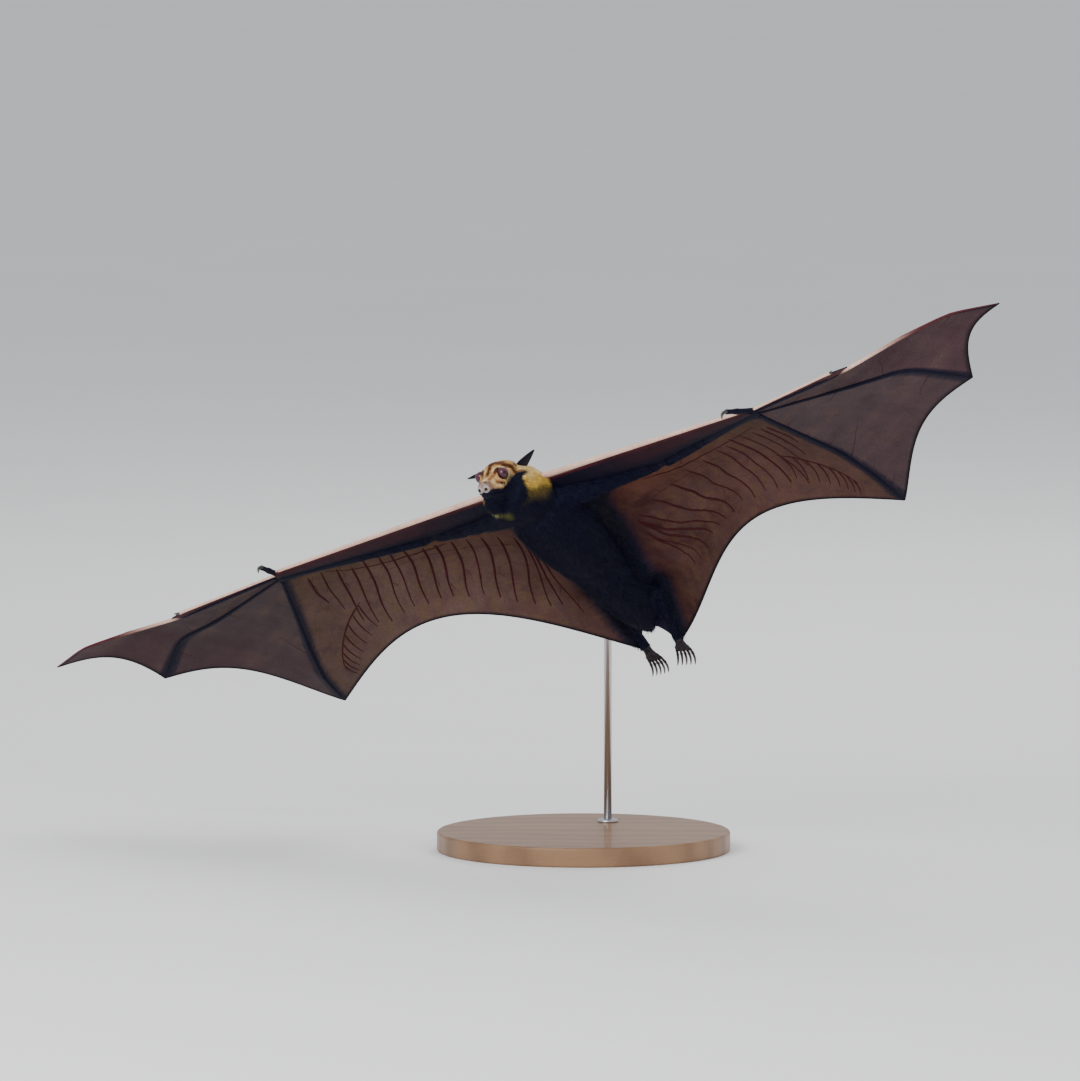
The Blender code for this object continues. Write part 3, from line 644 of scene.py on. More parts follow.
# Ears: cupped leaves, joined to the skin.
earPlan = {"root": (-29.0, 19.5, -3.0), "cup": 1.9, "thickness": 0.8,
           "widths": ((0.0, 5.2), (0.2, 4.9), (0.4, 4.1), (0.6, 3.1), (0.8, 1.9), (0.93, 0.9), (1.0, 0.3))}


def makeEar(wing):
    side = wing["side"]
    up, out, forward = wing["ear"]
    run = Vector((forward, side * out, up))
    axis = run.normalized()
    facing = sided(wing["earFacing"], side)
    across = facing.cross(axis).normalized()
    facing = axis.cross(across)
    root = sided(earPlan["root"], side)
    shares, widths = zip(*earPlan["widths"])
    builder = bmesh.new()
    bmesh.ops.create_grid(builder, x_segments=20, y_segments=34, size=0.5)
    for corner in builder.verts:
        reach, along = corner.co.x * 2.0, corner.co.y + 0.5
        wide = float(np.interp(along, shares, widths))
        cup = earPlan["cup"] * (1.0 - 0.6 * along)
        folds = 0.25 * math.sin(along * 40.0) * (1.0 - abs(reach)) * (1.0 - along)
        depth = cup * (reach * reach - 0.55) + folds
        place = root + run * (along * 1.06 - 0.06) + across * (wide * reach)
        corner.co = place + facing * depth
    made = fromBuilder("ear", builder)
    wall = made.modifiers.new("wall", "SOLIDIFY")
    wall.thickness, wall.offset = earPlan["thickness"], 0.0
    rounder = made.modifiers.new("rounding", "SUBSURF")
    rounder.levels = rounder.render_levels = 1
    made.data.transform(headToBat)
    return applyModifiers(made)


ears = [makeEar(wing) for wing in wings.values()]
earStart = len(skin.data.vertices)
bodyMesh = skin.data.copy()
skin = joinAll("body_skin", [skin] + ears)

skinPlaces = vertexArray(skin.data)
skinTints = coatColours(skinPlaces) * marks["underCoat"]
skinTints[earStart:] = marks["ear"]
headLocal = moved(batToHead, skinPlaces)
bareNose = smooth(29.5, 31.5, headLocal[:, 0]) * (np.arange(len(skinPlaces)) < earStart)
skinTints = mixArray(skinTints, marks["bareNose"], bareNose * smooth(-13.6, -12.2, headLocal[:, 2]))
for way in (-1.0, 1.0):
    nostril = np.array(headPlan["nostril"]) * (1.0, way, 1.0)
    hole = np.linalg.norm(headLocal - nostril + (1.2, 0.0, 0.0), axis=1)
    skinTints = mixArray(skinTints, marks["nostrilRim"], 0.85 * smooth(1.1, 0.5, np.abs(hole - 3.0)))
    # painted shade: the nostril hollows are near black
    skinTints = mixArray(skinTints, marks["nostril"], smooth(2.4, 1.7, hole))
paintTint(skin.data, skinTints)


def skinWiring(w):
    place = objectPlace(w)
    fine = w.noise(place, 900.0, 4.0)
    strands = w.noise(w.stretch(place, (1.0, 1.0, 0.35)), 1500.0, 2.0)
    light = fine + 0.45
    height = fine * 0.6 + strands * 0.5
    return {"Base Color": tintOf(w).shaded(0.6, light, light, light), "Roughness": fine * 0.25 + 0.5,
            "Normal": w.bump(height, 0.0006, 0.7)}


skinFinish = makeFinish("skin under fur", skinWiring, 0.6, {"Specular IOR Level": 0.14})
print("skin joined", len(skin.data.polygons))


# Coat: roots scattered on the skin, each tuft a thin curved blade lying along the body.
def scatterRoots(mesh, count, seed):
    dice = np.random.default_rng(seed)
    corners = np.empty(len(mesh.polygons) * 3, np.int32)
    mesh.polygons.foreach_get("vertices", corners)
    corners = corners.reshape(-1, 3)
    places, normals = vertexArray(mesh), vertexArray(mesh, "normal")
    first, second, third = (places[corners[:, k]] for k in range(3))
    areas = np.linalg.norm(np.cross(second - first, third - first), axis=1) * 0.5
    centres = (first + second + third) / 3.0
    want = areas * readRegions(centres)[2]["density"] * coatCover(centres)
    picks = np.searchsorted(np.cumsum(want) / want.sum(), dice.random(count))
    a, b = dice.random((2, count))
    fold = a + b > 1.0
    a[fold], b[fold] = 1.0 - a[fold], 1.0 - b[fold]
    weights = np.stack([1.0 - a - b, a, b], 1)
    rootPlaces = sum(places[corners[picks, k]] * weights[:, k:k + 1] for k in range(3))
    rootNormals = sum(normals[corners[picks, k]] * weights[:, k:k + 1] for k in range(3))
    rootNormals /= np.linalg.norm(rootNormals, axis=1)[:, None]
    return rootPlaces, rootNormals, dice


def coatCover(places):  # 1 where the coat grows, 0 on bare skin
    local = moved(batToHead, places)
    cover = np.ones(len(places))
    for way in (-1.0, 1.0):
        offset, far, gaze, tilt = eyeView(local, way)
        cover *= 1.0 - ((far < 8.6) & (tilt < headPlan["lidOpening"] + 5.0))
    return cover * (1.0 - smooth(30.5, 32.0, local[:, 0]) * smooth(-17.0, -15.0, local[:, 2]))


def unwrapRoots(places, shares):  # each region is laid out flat by its run and the way round it
    widths = np.array([np.linalg.norm(item["end"] - item["start"]) for item in regions.values()])
    heights = np.array([item["radius"] for item in regions.values()])
    rows = 0.9 * np.cumsum(np.r_[0.0, heights]) / heights.sum()
    flat = np.zeros((len(places), 2))
    leading = shares.argmax(0)
    for index, item in enumerate(regions.values()):
        mine = leading == index
        run = (item["end"] - item["start"]) / widths[index]
        offset = places[mine] - item["start"]
        along = np.clip(offset @ run / widths[index] * 0.94 + 0.03, 0.004, 0.996)
        sideWay = np.cross(run, (0.0, 0.3, 1.0))
        sideWay /= np.linalg.norm(sideWay)
        upWay = np.cross(sideWay, run)
        turn = np.arctan2(offset @ upWay, offset @ sideWay) / math.tau + 0.5
        flat[mine, 0] = along
        flat[mine, 1] = rows[index] + (rows[index + 1] - rows[index]) * (0.05 + 0.9 * turn)
    return flat


coatPlan = {
    "count": 124000, "quickCount": 20000, "perPiece": 19500, "clump": 0.22, "stray": 0.09, "sink": 0.35,
    "patch": 0.003, "seed": 7, "rings": ((0.0, 1.0, 0.5), (0.5, 0.86, 0.95), (1.0, 0.0, 1.25)),
}


def growTufts(roots, normals, lie, sizes, dice):  # corners and tints of every blade
    count = len(roots)
    lie = lie - normals * (lie * normals).sum(1)[:, None]
    lie /= np.maximum(np.linalg.norm(lie, axis=1), 1e-6)[:, None]
    across = np.cross(normals, lie)
    stray = coatPlan["clump"] * wobble(roots, 11.0, 21) + coatPlan["stray"] * dice.normal(size=count)
    lie = lie * np.cos(stray)[:, None] + across * np.sin(stray)[:, None]
    across = np.cross(normals, lie)
    length = sizes["length"] * dice.uniform(0.72, 1.12, count)
    width = sizes["width"] * dice.uniform(0.8, 1.2, count)
    lift = np.radians(sizes["lift"] * (1.0 + 0.25 * wobble(roots, 8.0, 22) + 0.18 * dice.normal(size=count)))
    lift = np.clip(lift, 0.05, 0.75)
    colours = coatColours(roots + lie * (0.55 * length)[:, None] + dice.normal(size=(count, 3)) * 0.45)
    colours *= dice.uniform(0.74, 1.3, (count, 1)) * (1.0 + 0.12 * wobble(roots, 7.0, 23))[:, None]
    rings, tints = [], []
    for share, narrow, light in coatPlan["rings"]:  # how far along the blade, how wide and how light
        centre = roots - normals * coatPlan["sink"] + lie * (length * share * np.cos(lift))[:, None]
        centre += normals * (length * (np.sin(lift) * share - 0.22 * np.sin(lift) * share ** 2.0))[:, None]
        half = (width * narrow * 0.5)[:, None]
        ring = [centre - across * half, centre + across * half, centre + normals * half * 0.9]
        rings.append(np.stack(ring if narrow else [centre], 1))
        tints.append(np.repeat((colours * light)[:, None, :], 3 if narrow else 1, 1))
    return np.concatenate(rings, 1), np.concatenate(tints, 1)


def growCoat(mesh, count, seed):
    roots, normals, dice = scatterRoots(mesh, count, seed)
    shares, lie, sizes = readRegions(roots)
    local = moved(batToHead, roots)
    for way in (-1.0, 1.0):  # the coat parts round the eyes and is shortest there
        offset, far, gaze, tilt = eyeView(local, way)
        outward = offset - gaze * (offset @ gaze)[:, None]
        outward = (outward / np.maximum(far, 1e-6)[:, None]) @ np.array(headToBat.to_3x3()).T
        lie = lie + outward * (2.2 * smooth(12.5, 8.5, far))[:, None]
        sizes["length"] = sizes["length"] * (1.0 - 0.62 * smooth(14.0, 8.5, far))
    corners, tint = growTufts(roots, normals, lie, sizes, dice)
    return corners, tint, unwrapRoots(roots, shares), shares.argmax(0)


bladeFaces = np.array([(0, 2, 1), (0, 1, 4), (0, 4, 3), (1, 2, 5), (1, 5, 4), (2, 0, 3), (2, 3, 5),
                       (3, 4, 6), (4, 5, 6), (5, 3, 6)])
bladeFlat = np.array([(-0.5, -0.5), (0.5, -0.5), (0.0, -0.5), (-0.4, 0.0), (0.4, 0.0), (0.0, 0.0),
                      (0.0, 0.5)])


def coatMesh(name, corners, tint, flat):
    count = len(corners)
    faces = (bladeFaces[None] + np.arange(count)[:, None, None] * 7).reshape(-1, 3)
    mesh = bpy.data.meshes.new(name)
    mesh.vertices.add(count * 7)
    mesh.loops.add(len(faces) * 3)
    mesh.polygons.add(len(faces))
    world = moved(batToWorld, corners.reshape(-1, 3))
    mesh.vertices.foreach_set("co", world.astype(np.float32).ravel())
    mesh.loops.foreach_set("vertex_index", faces.astype(np.int32).ravel())
    mesh.polygons.foreach_set("loop_start", np.arange(0, len(faces) * 3, 3, dtype=np.int32))
    mesh.update(calc_edges=True)
    mesh.shade_smooth()
    paintTint(mesh, tint.reshape(-1, 3))
    patch = (flat[:, None, :] + bladeFlat[None] * coatPlan["patch"]).reshape(-1, 2)
    layer = mesh.uv_layers.new(name="OFBake")
    layer.data.foreach_set("uv", patch[faces.ravel()].astype(np.float32).ravel())
    return link(name, mesh)


def coatWiring(w):
    streak = w.noise(objectPlace(w), 1400.0, 2.0) + 0.5
    return {"Base Color": tintOf(w).shaded(0.5, streak, streak, streak)}


coatFinish = makeFinish("coat of fur", coatWiring, 0.6, {"Specular IOR Level": 0.18})
coatCount = coatPlan["count"]
corners, tint, flat, leading = growCoat(bodyMesh, coatCount, coatPlan["seed"])
order = np.argsort(leading, kind="stable")
pieceCount = -(-coatCount // coatPlan["perPiece"])
for index, chosen in enumerate(np.array_split(order, pieceCount)):
    coat = coatMesh("coat_%02d" % (index + 1), corners[chosen], tint[chosen], flat[chosen])
    coat.data.materials.append(coatFinish)
    names = {regionKeys[k] for k in np.unique(leading[chosen])}
    if "muzzle" in names:
        settle(coat, ["head"])
    elif "neck" in names:
        settle(coat, ["neck"])
    else:
        settle(coat, ["trunk"])
print("coat grown", coatCount, "tufts")
finishPiece(skin, skinFinish, fleshNodes + ["ear_left", "ear_right"])


# Wings: surfaces between the bones, over two shares from 0 to 1.
wingPlan = {"half": 0.27, "fillet": 1.1, "pleat": 0.6}


def edgeCurve(start, end, depth, lean, inward):
    chord = end - start
    across = chord.cross(Vector((0.0, 0.0, 1.0))).normalized()
    if across.dot(inward) < 0.0:
        across.negate()
    return lambda share: start + chord * share + across * (depth * math.sin(math.pi * share ** lean))


def furEdge(v):  # how far out from the flank the body's fur reaches over the wing
    return 0.145 - 0.10 * v + 0.10 * smooth(0.12, 0.0, v)


def eased(joints):  # the same line of joints with its corners rounded
    line = [joints[0]]
    for before, joint, after in zip(joints, joints[1:], joints[2:]):
        reach = 0.3 * min((joint - before).length, (after - joint).length)
        start = joint + (before - joint).normalized() * reach
        end = joint + (after - joint).normalized() * reach
        for t in (0.0, 0.25, 0.5, 0.75, 1.0):
            line.append(start.lerp(joint, t).lerp(joint.lerp(end, t), t))
    return line + [joints[-1]]


def softChain(joints, share, away):  # a bone line whose corners ease off away from the bone
    reach = 0.055 * min(away / 0.14, 1.0) * min(1.0, share / 0.16, (1.0 - share) / 0.16)
    if reach <= 0.0:
        return onChain(joints, share)
    spots = [onChain(joints, min(max(share + reach * k, 0.0), 1.0)) for k in (-2.0, -1.0, 0.0, 1.0, 2.0)]
    return sum(spots, Vector()) / 5.0


def ripple(u, v, across, along):  # shallow pleats, still along every border
    calm = math.sin(math.pi * u) * math.sin(math.pi * v ** 0.8)
    wave = math.sin((across * u + 0.8 * v + 0.10 * math.sin(along * v * 5.0)) * math.tau)
    cross = math.sin((along * v + 0.15 * math.sin(across * u * 3.0)) * math.tau)
    return wingPlan["pleat"] * calm * (wave + 0.55 * cross)


def patch(top, flank, finger, edge, billow):
    heel = finger[0] - top(1.0)  # the finger leaves the palm a little behind the arm's own line

    def place(u, v):
        rows = top(u) * (1.0 - v) + edge(u) * v
        columns = softChain(flank, v, u) * (1.0 - u) + softChain(finger, v, 1.0 - u) * u
        corners = (top(0.0) * (1.0 - v) + edge(0.0) * v) * (1.0 - u)
        corners = corners + (top(1.0) * (1.0 - v) + edge(1.0) * v) * u
        lift = billow * math.sin(math.pi * u) * math.sin(math.pi * min(v * 0.9 + 0.05, 1.0))
        onArm = heel * ((u ** 9 - u) * (1.0 - v) ** 3)
        return rows + columns - corners + onArm + Vector((0.0, 0.0, lift + ripple(u, v, 14.0, 3.0)))
    return place


def fan(first, second, edge, billow):
    def place(u, v):
        straight = softChain(first, v, u) * (1.0 - u) + softChain(second, v, 1.0 - u) * u
        tips = first[-1] * (1.0 - u) + second[-1] * u
        pull = (edge(u) - tips) * v ** 2.2
        lift = billow * math.sin(math.pi * u) * math.sin(math.pi * v * 0.8)
        return straight + pull + Vector((0.0, 0.0, lift + ripple(u, v, 3.0, 6.0)))
    return place


def wingSurfaces(wing, bone):
    side, fingers = wing["side"], bone["fingers"]
    elbow, wrist, ankle = bone["elbow"], bone["wrist"], bone["ankle"]
    armLine = [Vector((-8.0, side * 20.0, 8.0)), elbow, wrist]
    flankLine = [armLine[0], Vector((-90.0, side * 14.0, 12.0)), bone["hip"], bone["knee"], ankle]
    fifth, fourth, third = (eased(fingers[key]) for key in ("fifth", "fourth", "third"))
    knuckle, webEnd = fingers["third"][1], fingers["third"][1].lerp(fingers["third"][2], 0.2)
    innerEdge = edgeCurve(ankle, fifth[-1], *wing["innerEdge"], Vector((1.0, 0.0, 0.0)))
    middleEdge = edgeCurve(fifth[-1], fourth[-1], *wing["middleEdge"], wrist - fifth[-1])
    outerEdge = edgeCurve(fourth[-1], third[-1], *wing["outerEdge"], wrist - fourth[-1])
    thirdFront = [third[0], knuckle, webEnd]
    secondFront = [fingers["second"][0], fingers["second"][1], webEnd + Vector((2.5, 0.0, 0.0))]
    leadLine = [Vector((30.0, side * 16.0, 9.0)), bone["thumbRoot"] + bone["thumbAxis"] * 12.0]
    tailPoint = Vector((-186.0, side * 1.0, -20.0))

    def tipWeb(u, v):
        return onChain(secondFront, v) * (1.0 - u) + onChain(thirdFront, v) * u

    def foreWing(u, v):
        bulge = Vector((0.0, 0.0, -3.0 * math.sin(math.pi * v)))
        return onChain(armLine, u) * v + onChain(leadLine, u) * (1.0 - v) + bulge

    def legSkin(u, v):
        leg = onChain([bone["knee"], ankle + Vector((6.0, 0.0, 0.0))], u)
        inside = tailPoint.lerp(ankle, u) + Vector((6.0, side * 1.5, 1.5)) * math.sin(math.pi * u)
        return leg * (1.0 - v) + inside * v

    return {
        "inner": patch(lambda u: onChain(armLine, u), flankLine, fifth, innerEdge, 11.0),
        "middle": fan(fifth, fourth, middleEdge, 7.0), "outer": fan(fourth, third, outerEdge, 5.0),
        "tipWeb": tipWeb, "fore": foreWing, "legSkin": legSkin,
        "leadLine": leadLine,
    }


panels = {  # counts across and along, and the sides that run beside a bone
    "inner": (104, 76, ("top", "right")), "middle": (44, 84, ("left", "right")),
    "outer": (28, 100, ("left", "right")), "tipWeb": (5, 44, ("left", "right")),
    "fore": (84, 12, ("bottom",)), "legSkin": (20, 8, ()),
}

membraneTints = {
    "left": {"light": (0.078, 0.038, 0.031), "deep": (0.028, 0.0085, 0.009), "olive": (0.064, 0.032, 0.022)},
    "right": {"light": (0.084, 0.048, 0.040), "deep": (0.058, 0.026, 0.022), "olive": (0.066, 0.037, 0.023)},
    "taupe": (0.050, 0.033, 0.037), "tip": (0.050, 0.021, 0.026), "edge": (0.004, 0.003, 0.006),
    # the cream tint is painted sunlight along the front edge
    "dark": (0.0040, 0.0038, 0.0130), "paintedSunlight": (0.66, 0.44, 0.35), "leadDark": (0.070, 0.012, 0.017),
    "fore": (0.024, 0.0070, 0.0120), "glow": (0.110, 0.034, 0.017), "plum": (0.046, 0.024, 0.032),
}


def membraneColours(panel, wingName, shares, places):
    u, v = shares.T
    own = membraneTints[wingName]
    drift = wobble(places, 42.0, 31) * 0.5 + wobble(places, 15.0, 32) * 0.3
    ragged = 0.5 * wobble(places, 6.0, 33) + 0.3 * wobble(places, 2.5, 34)
    colour = tiled(membraneTints["taupe"], len(u)) * (0.8 if wingName == "right" else 1.0)
    if panel == "inner":
        colour = tiled(own["light"], len(u))
        colour = mixArray(colour, own["deep"], smooth(-0.5, 1.1, 0.6 * drift + 1.6 * (0.5 - u)))
        colour = mixArray(colour, own["olive"], smooth(0.30, 0.05, v) * smooth(0.2, 0.5, u) * 0.9)
        patches = smooth(0.1, 1.0, wobble(places, 16.0, 35) + 0.6 * wobble(places, 7.0, 36))
        colour = mixArray(colour, np.array(own["olive"]) * (1.25, 1.35, 0.95), 0.45 * patches)
        colour = mixArray(colour, membraneTints["plum"], 0.35 * smooth(0.2, 1.0, wobble(places, 12.0, 37)))
        # painted light: a glow of sunlight through the membrane near the arm, stronger on the left wing
        backlitGlow = smooth(0.42, 0.0, v + 0.10 * drift) * smooth(0.10, 0.20, u)
        backlitGlow = backlitGlow * smooth(0.85, 0.30, u + 0.12 * drift)
        colour = mixArray(colour, membraneTints["glow"], backlitGlow * (0.45 if wingName == "left" else 0.2))
        nearFur = u - furEdge(v) + 0.012 * ragged
        colour = mixArray(colour, own["deep"], 0.75 * smooth(0.13, 0.0, nearFur))
        colour = mixArray(colour, membraneTints["dark"], smooth(0.040, -0.014, nearFur))
        underArm = 0.012 + 0.045 * smooth(0.70, 0.42, u) * smooth(0.15, 0.40, u) + 0.05 * smooth(0.30, 0.0, u)
        colour = mixArray(colour, membraneTints["dark"], smooth(0.014, -0.010, v - underArm + 0.008 * ragged))
        colour = colour * (1.0 - 0.24 * smooth(0.62, 0.95, u))[:, None]
    if panel in ("middle", "outer"):
        colour = mixArray(colour, own["olive"], smooth(0.0, 0.8, drift + 0.6 * smooth(0.5, 0.0, v)) * 0.35)
        tipShare = 0.6 if panel == "outer" else 0.35
        colour = mixArray(colour, membraneTints["tip"], smooth(0.30, 1.0, v - 0.4 * drift) * tipShare)
    if panel == "fore":
        colour = tiled(membraneTints["dark"], len(u))
        warm = smooth(0.18, 0.50, u + 0.10 * ragged) * smooth(0.78, 0.50, v + 0.08 * ragged)
        colour = mixArray(colour, membraneTints["fore"], warm)
        ahead = v * np.interp(u, (0.0, 0.35, 1.0), (34.0, 46.0, 20.0))  # millimetres behind the front edge
        colour = mixArray(colour, membraneTints["leadDark"], smooth(10.0, 7.0, ahead + 4.0 * u))
        # painted sunlight: a pale band along the front edge
        edging = ahead - 3.4 + 2.2 * u + 0.15 * ragged
        colour = mixArray(colour, membraneTints["paintedSunlight"], smooth(0.7, -0.5, edging))
    if panel == "legSkin":
        colour = tiled(membraneTints["dark"], len(u))
    if panel == "tipWeb":
        colour = mixArray(colour, membraneTints["leadDark"], 0.5)
    sides = panels[panel][2]
    nearBone = np.zeros(len(u))
    if "left" in sides:
        nearBone = np.maximum(nearBone, smooth(0.050, 0.018, u - 0.02 * v + 0.008 * ragged))
    if "right" in sides:
        reach = 1.0 - (panel == "inner") * (0.25 + 0.40 * smooth(0.2, 0.8, v))
        inward = u + 0.02 * v * reach - 0.008 * ragged * reach
        nearBone = np.maximum(nearBone, smooth(1.0 - 0.050 * reach, 1.0 - 0.018 * reach, inward))
    colour = mixArray(colour, membraneTints["dark"], nearBone * 0.92)
    if panel in ("inner", "middle", "outer"):
        colour = mixArray(colour, membraneTints["edge"], smooth(0.975, 0.995, v) * 0.7)
    return colour * (1.0 + 0.14 * drift)[:, None]


def makePanel(panel, wingName, surface):
    across, along, sides = panels[panel]
    builder = bmesh.new()
    bmesh.ops.create_grid(builder, x_segments=across, y_segments=along, size=0.5)
    shares = np.array([(corner.co.x + 0.5, corner.co.y + 0.5) for corner in builder.verts])
    layer = builder.loops.layers.uv.new("wingShares")
    for face in builder.faces:
        for loop in face.loops:
            loop[layer].uv = shares[loop.vert.index]
    for corner, (u, v) in zip(builder.verts, shares):
        corner.co = surface(float(u), float(v))
    made = fromBuilder(panel, builder)
    places = vertexArray(made.data)
    paintTint(made.data, membraneColours(panel, wingName, shares, places))
    group = made.vertex_groups.new(name="swell")
    thin = wingPlan["half"] / (wingPlan["half"] + wingPlan["fillet"])
    for index, (u, v) in enumerate(shares):  # a fillet along each bone
        away = {"left": u / 0.03, "right": (1.0 - u) / 0.03, "top": v / 0.03, "bottom": (1.0 - v) / 0.12}
        reach = min([1.0] + [away[name] for name in sides])
        fillet = max(1.0 - reach, 0.0) ** 2 * (1.0 - 0.75 * float(v))
        group.add([index], thin + (1.0 - thin) * fillet, "REPLACE")
    wall = made.modifiers.new("wall", "SOLIDIFY")
    wall.thickness = 2.0 * (wingPlan["half"] + wingPlan["fillet"])
    wall.offset = 0.0
    wall.vertex_group = "swell"
    applyModifiers(made)
    made.vertex_groups.clear()
    return made


fingerSizes = {"second": (1.6, 1.7), "third": (1.8, 2.4, 2.0, 1.3, 0.6), "fourth": (1.8, 2.5, 2.1, 0.8),
               "fifth": (2.3, 2.8, 2.3, 0.8)}


def fingerForm(builder, joints, radii):  # slender between the joints, swollen at them
    runs = np.cumsum([0.0] + [(b - a).length for a, b in zip(joints, joints[1:])])
    stations, sizes = [0.0], [radii[0]]
    for index in range(len(joints) - 1):
        for share in (0.10, 0.5, 0.90):
            stations.append(runs[index] + (runs[index + 1] - runs[index]) * share)
            sizes.append((radii[index] + (radii[index + 1] - radii[index]) * share) * 0.82)
        stations.append(runs[index + 1])
        sizes.append(radii[index + 1])
    shares = np.linspace(0.0, 1.0, 64)
    line = eased(joints)
    path = [onChain(line, share) for share in shares]
    tube(builder, path, list(np.interp(shares * runs[-1], stations, sizes)), sides=12)


def makeTubes(name, builder, colour):
    made = fromBuilder(name, builder)
    paintTint(made.data, tiled(colour, len(made.data.vertices)))
    return made


def edgeCord(surfaces):
    builder = bmesh.new()
    for panel, steps in (("inner", 90), ("middle", 40), ("outer", 30)):
        path = [surfaces[panel](step / steps, 1.0) for step in range(steps + 1)]
        tube(builder, path, [(0.95, 0.6)] * len(path), sides=8)
    return makeTubes("edge", builder, membraneTints["edge"])


def sunlitTints(mesh, cover):  # painted sunlight: pale where it looks up and ahead, dark red below
    normals = vertexArray(mesh, "normal")
    over = smooth(-0.995, -0.965, normals @ np.array((0.6, 0.0, 0.8))) * cover
    return mixArray(tiled(membraneTints["leadDark"], len(over)), membraneTints["paintedSunlight"], over)


def makeFingers(bone):
    dark, parts = bmesh.new(), []
    for key in ("fourth", "fifth"):
        fingerForm(dark, bone["fingers"][key], fingerSizes[key])
    thumbPath = [bone["thumbRoot"].lerp(bone["thumbTip"], share)
                 for share in (-0.1, 0.0, 0.3, 0.48, 0.56, 0.8, 1.0)]
    tube(dark, *easePath(thumbPath, [3.6, 3.3, 2.9, 2.9, 3.3, 2.5, 2.7], 4), sides=14)
    parts.append(makeTubes("fingers", dark, membraneTints["dark"]))
    for key in ("second", "third"):  # painted sunlight: the front edge beyond the wrist is pale on top
        builder = bmesh.new()
        fingerForm(builder, bone["fingers"][key], fingerSizes[key])
        made = fromBuilder("front finger", builder)
        far = np.linalg.norm(vertexArray(made.data) - np.array(bone["wrist"]), axis=1)
        cover = np.ones(len(far))
        if key == "third":
            cover = smooth(122.0, 130.0, far) * smooth(225.0, 135.0, far)
        colours = sunlitTints(made.data, cover)
        if key == "third":
            colours = mixArray(colours, membraneTints["dark"], smooth(140.0, 115.0, far))
        paintTint(made.data, colours)
        parts.append(made)
    return parts


def leadingRoll(surfaces):  # the rolled front edge, with painted sunlight where it looks up and ahead
    start, end = surfaces["leadLine"]
    shares = np.linspace(0.0, 1.0, 44)
    path = [start.lerp(end, 0.02 + 0.96 * share) for share in shares]
    sizes = [(1.7 + 1.7 * (1.0 - share), 1.4 + 1.3 * (1.0 - share)) for share in shares]
    path = [place - Vector((0.6, 0.0, 0.8)) * (size[1] - 1.0) for place, size in zip(path, sizes)]
    builder = bmesh.new()
    tube(builder, path, sizes, sides=14)
    made = fromBuilder("roll", builder)
    paintTint(made.data, sunlitTints(made.data, 1.0))
    return made


# Veins: raised cords in the membranes, drawn as curves over the panel shares.
def veinCurves(name, runs):  # each run is a list of (place, radius)
    data = bpy.data.curves.new(name, "CURVE")
    data.dimensions = "3D"
    data.bevel_depth, data.bevel_resolution, data.use_fill_caps = 1.0, 1, True
    for run in runs:
        spline = data.splines.new("POLY")
        spline.points.add(len(run) - 1)
        for point, (place, radius) in zip(spline.points, run):
            point.co = (*place, 1.0)
            point.radius = radius
    holder = bpy.data.objects.new(name, data)
    bpy.context.scene.collection.objects.link(holder)
    bpy.context.view_layer.update()
    mesh = bpy.data.meshes.new_from_object(holder.evaluated_get(bpy.context.evaluated_depsgraph_get()))
    bpy.data.objects.remove(holder)
    mesh.name = name
    return link(name, mesh)


def veinRun(surface, start, end, bow, radius, steps=22, wave=0.0, phase=0.0):
    run = []
    for step in range(steps + 1):
        t = step / steps
        u = start[0] + (end[0] - start[0]) * t + bow[0] * math.sin(math.pi * t)
        v = start[1] + (end[1] - start[1]) * t + bow[1] * math.sin(math.pi * t)
        u += wave * math.sin(9.0 * t + phase)
        taper = radius * (1.0 - 0.45 * t ** 2) * min(1.0, 0.55 + 4.0 * t)
        run.append((surface(min(max(u, 0.0), 1.0), min(max(v, 0.0), 1.0)), taper))
    return run


def branchVeins(surface, start, way, reach, radius, depth, dice, runs):
    bend = dice.uniform(-0.5, 0.5)
    places, spot, heading = [], np.array(start, float), math.atan2(way[1], way[0])
    steps = 9
    for step in range(steps + 1):
        t = step / steps
        places.append((surface(float(np.clip(spot[0], 0.01, 0.99)), float(np.clip(spot[1], 0.01, 0.99))),
                       radius * (1.0 - 0.6 * t)))
        if depth and step in (3, 6, 8):
            fork = heading + dice.choice((-1.0, 1.0)) * dice.uniform(0.5, 0.95)
            branchVeins(surface, spot.copy(), (math.cos(fork), math.sin(fork)),
                        reach * dice.uniform(0.45, 0.7), radius * 0.62, depth - 1, dice, runs)
        heading += bend / steps + dice.uniform(-0.3, 0.3)
        spot += np.array((math.cos(heading) * reach[0], math.sin(heading) * reach[1])) / steps
    runs.append(places)


veinPlan = {
    "left": {"count": 16, "first": 0.22, "step": 0.048, "drift": 0.27, "from": -0.2, "until": 0.62,
             "top": 0.10, "sag": 0.34, "stem": ((0.80, 0.50), (0.93, 0.86)),
             "cross": ((0.30, 0.10), (0.90, 0.08))},
    "right": {"count": 18, "first": 0.12, "step": 0.0445, "drift": 0.07, "from": -0.1, "until": 0.60,
              "top": 0.06, "sag": 0.20, "stem": ((0.78, 0.50), (0.925, 0.88)),
              "cross": ((0.42, 0.17), (0.84, 0.05))},
    "radius": 1.45, "fine": 0.36,
}


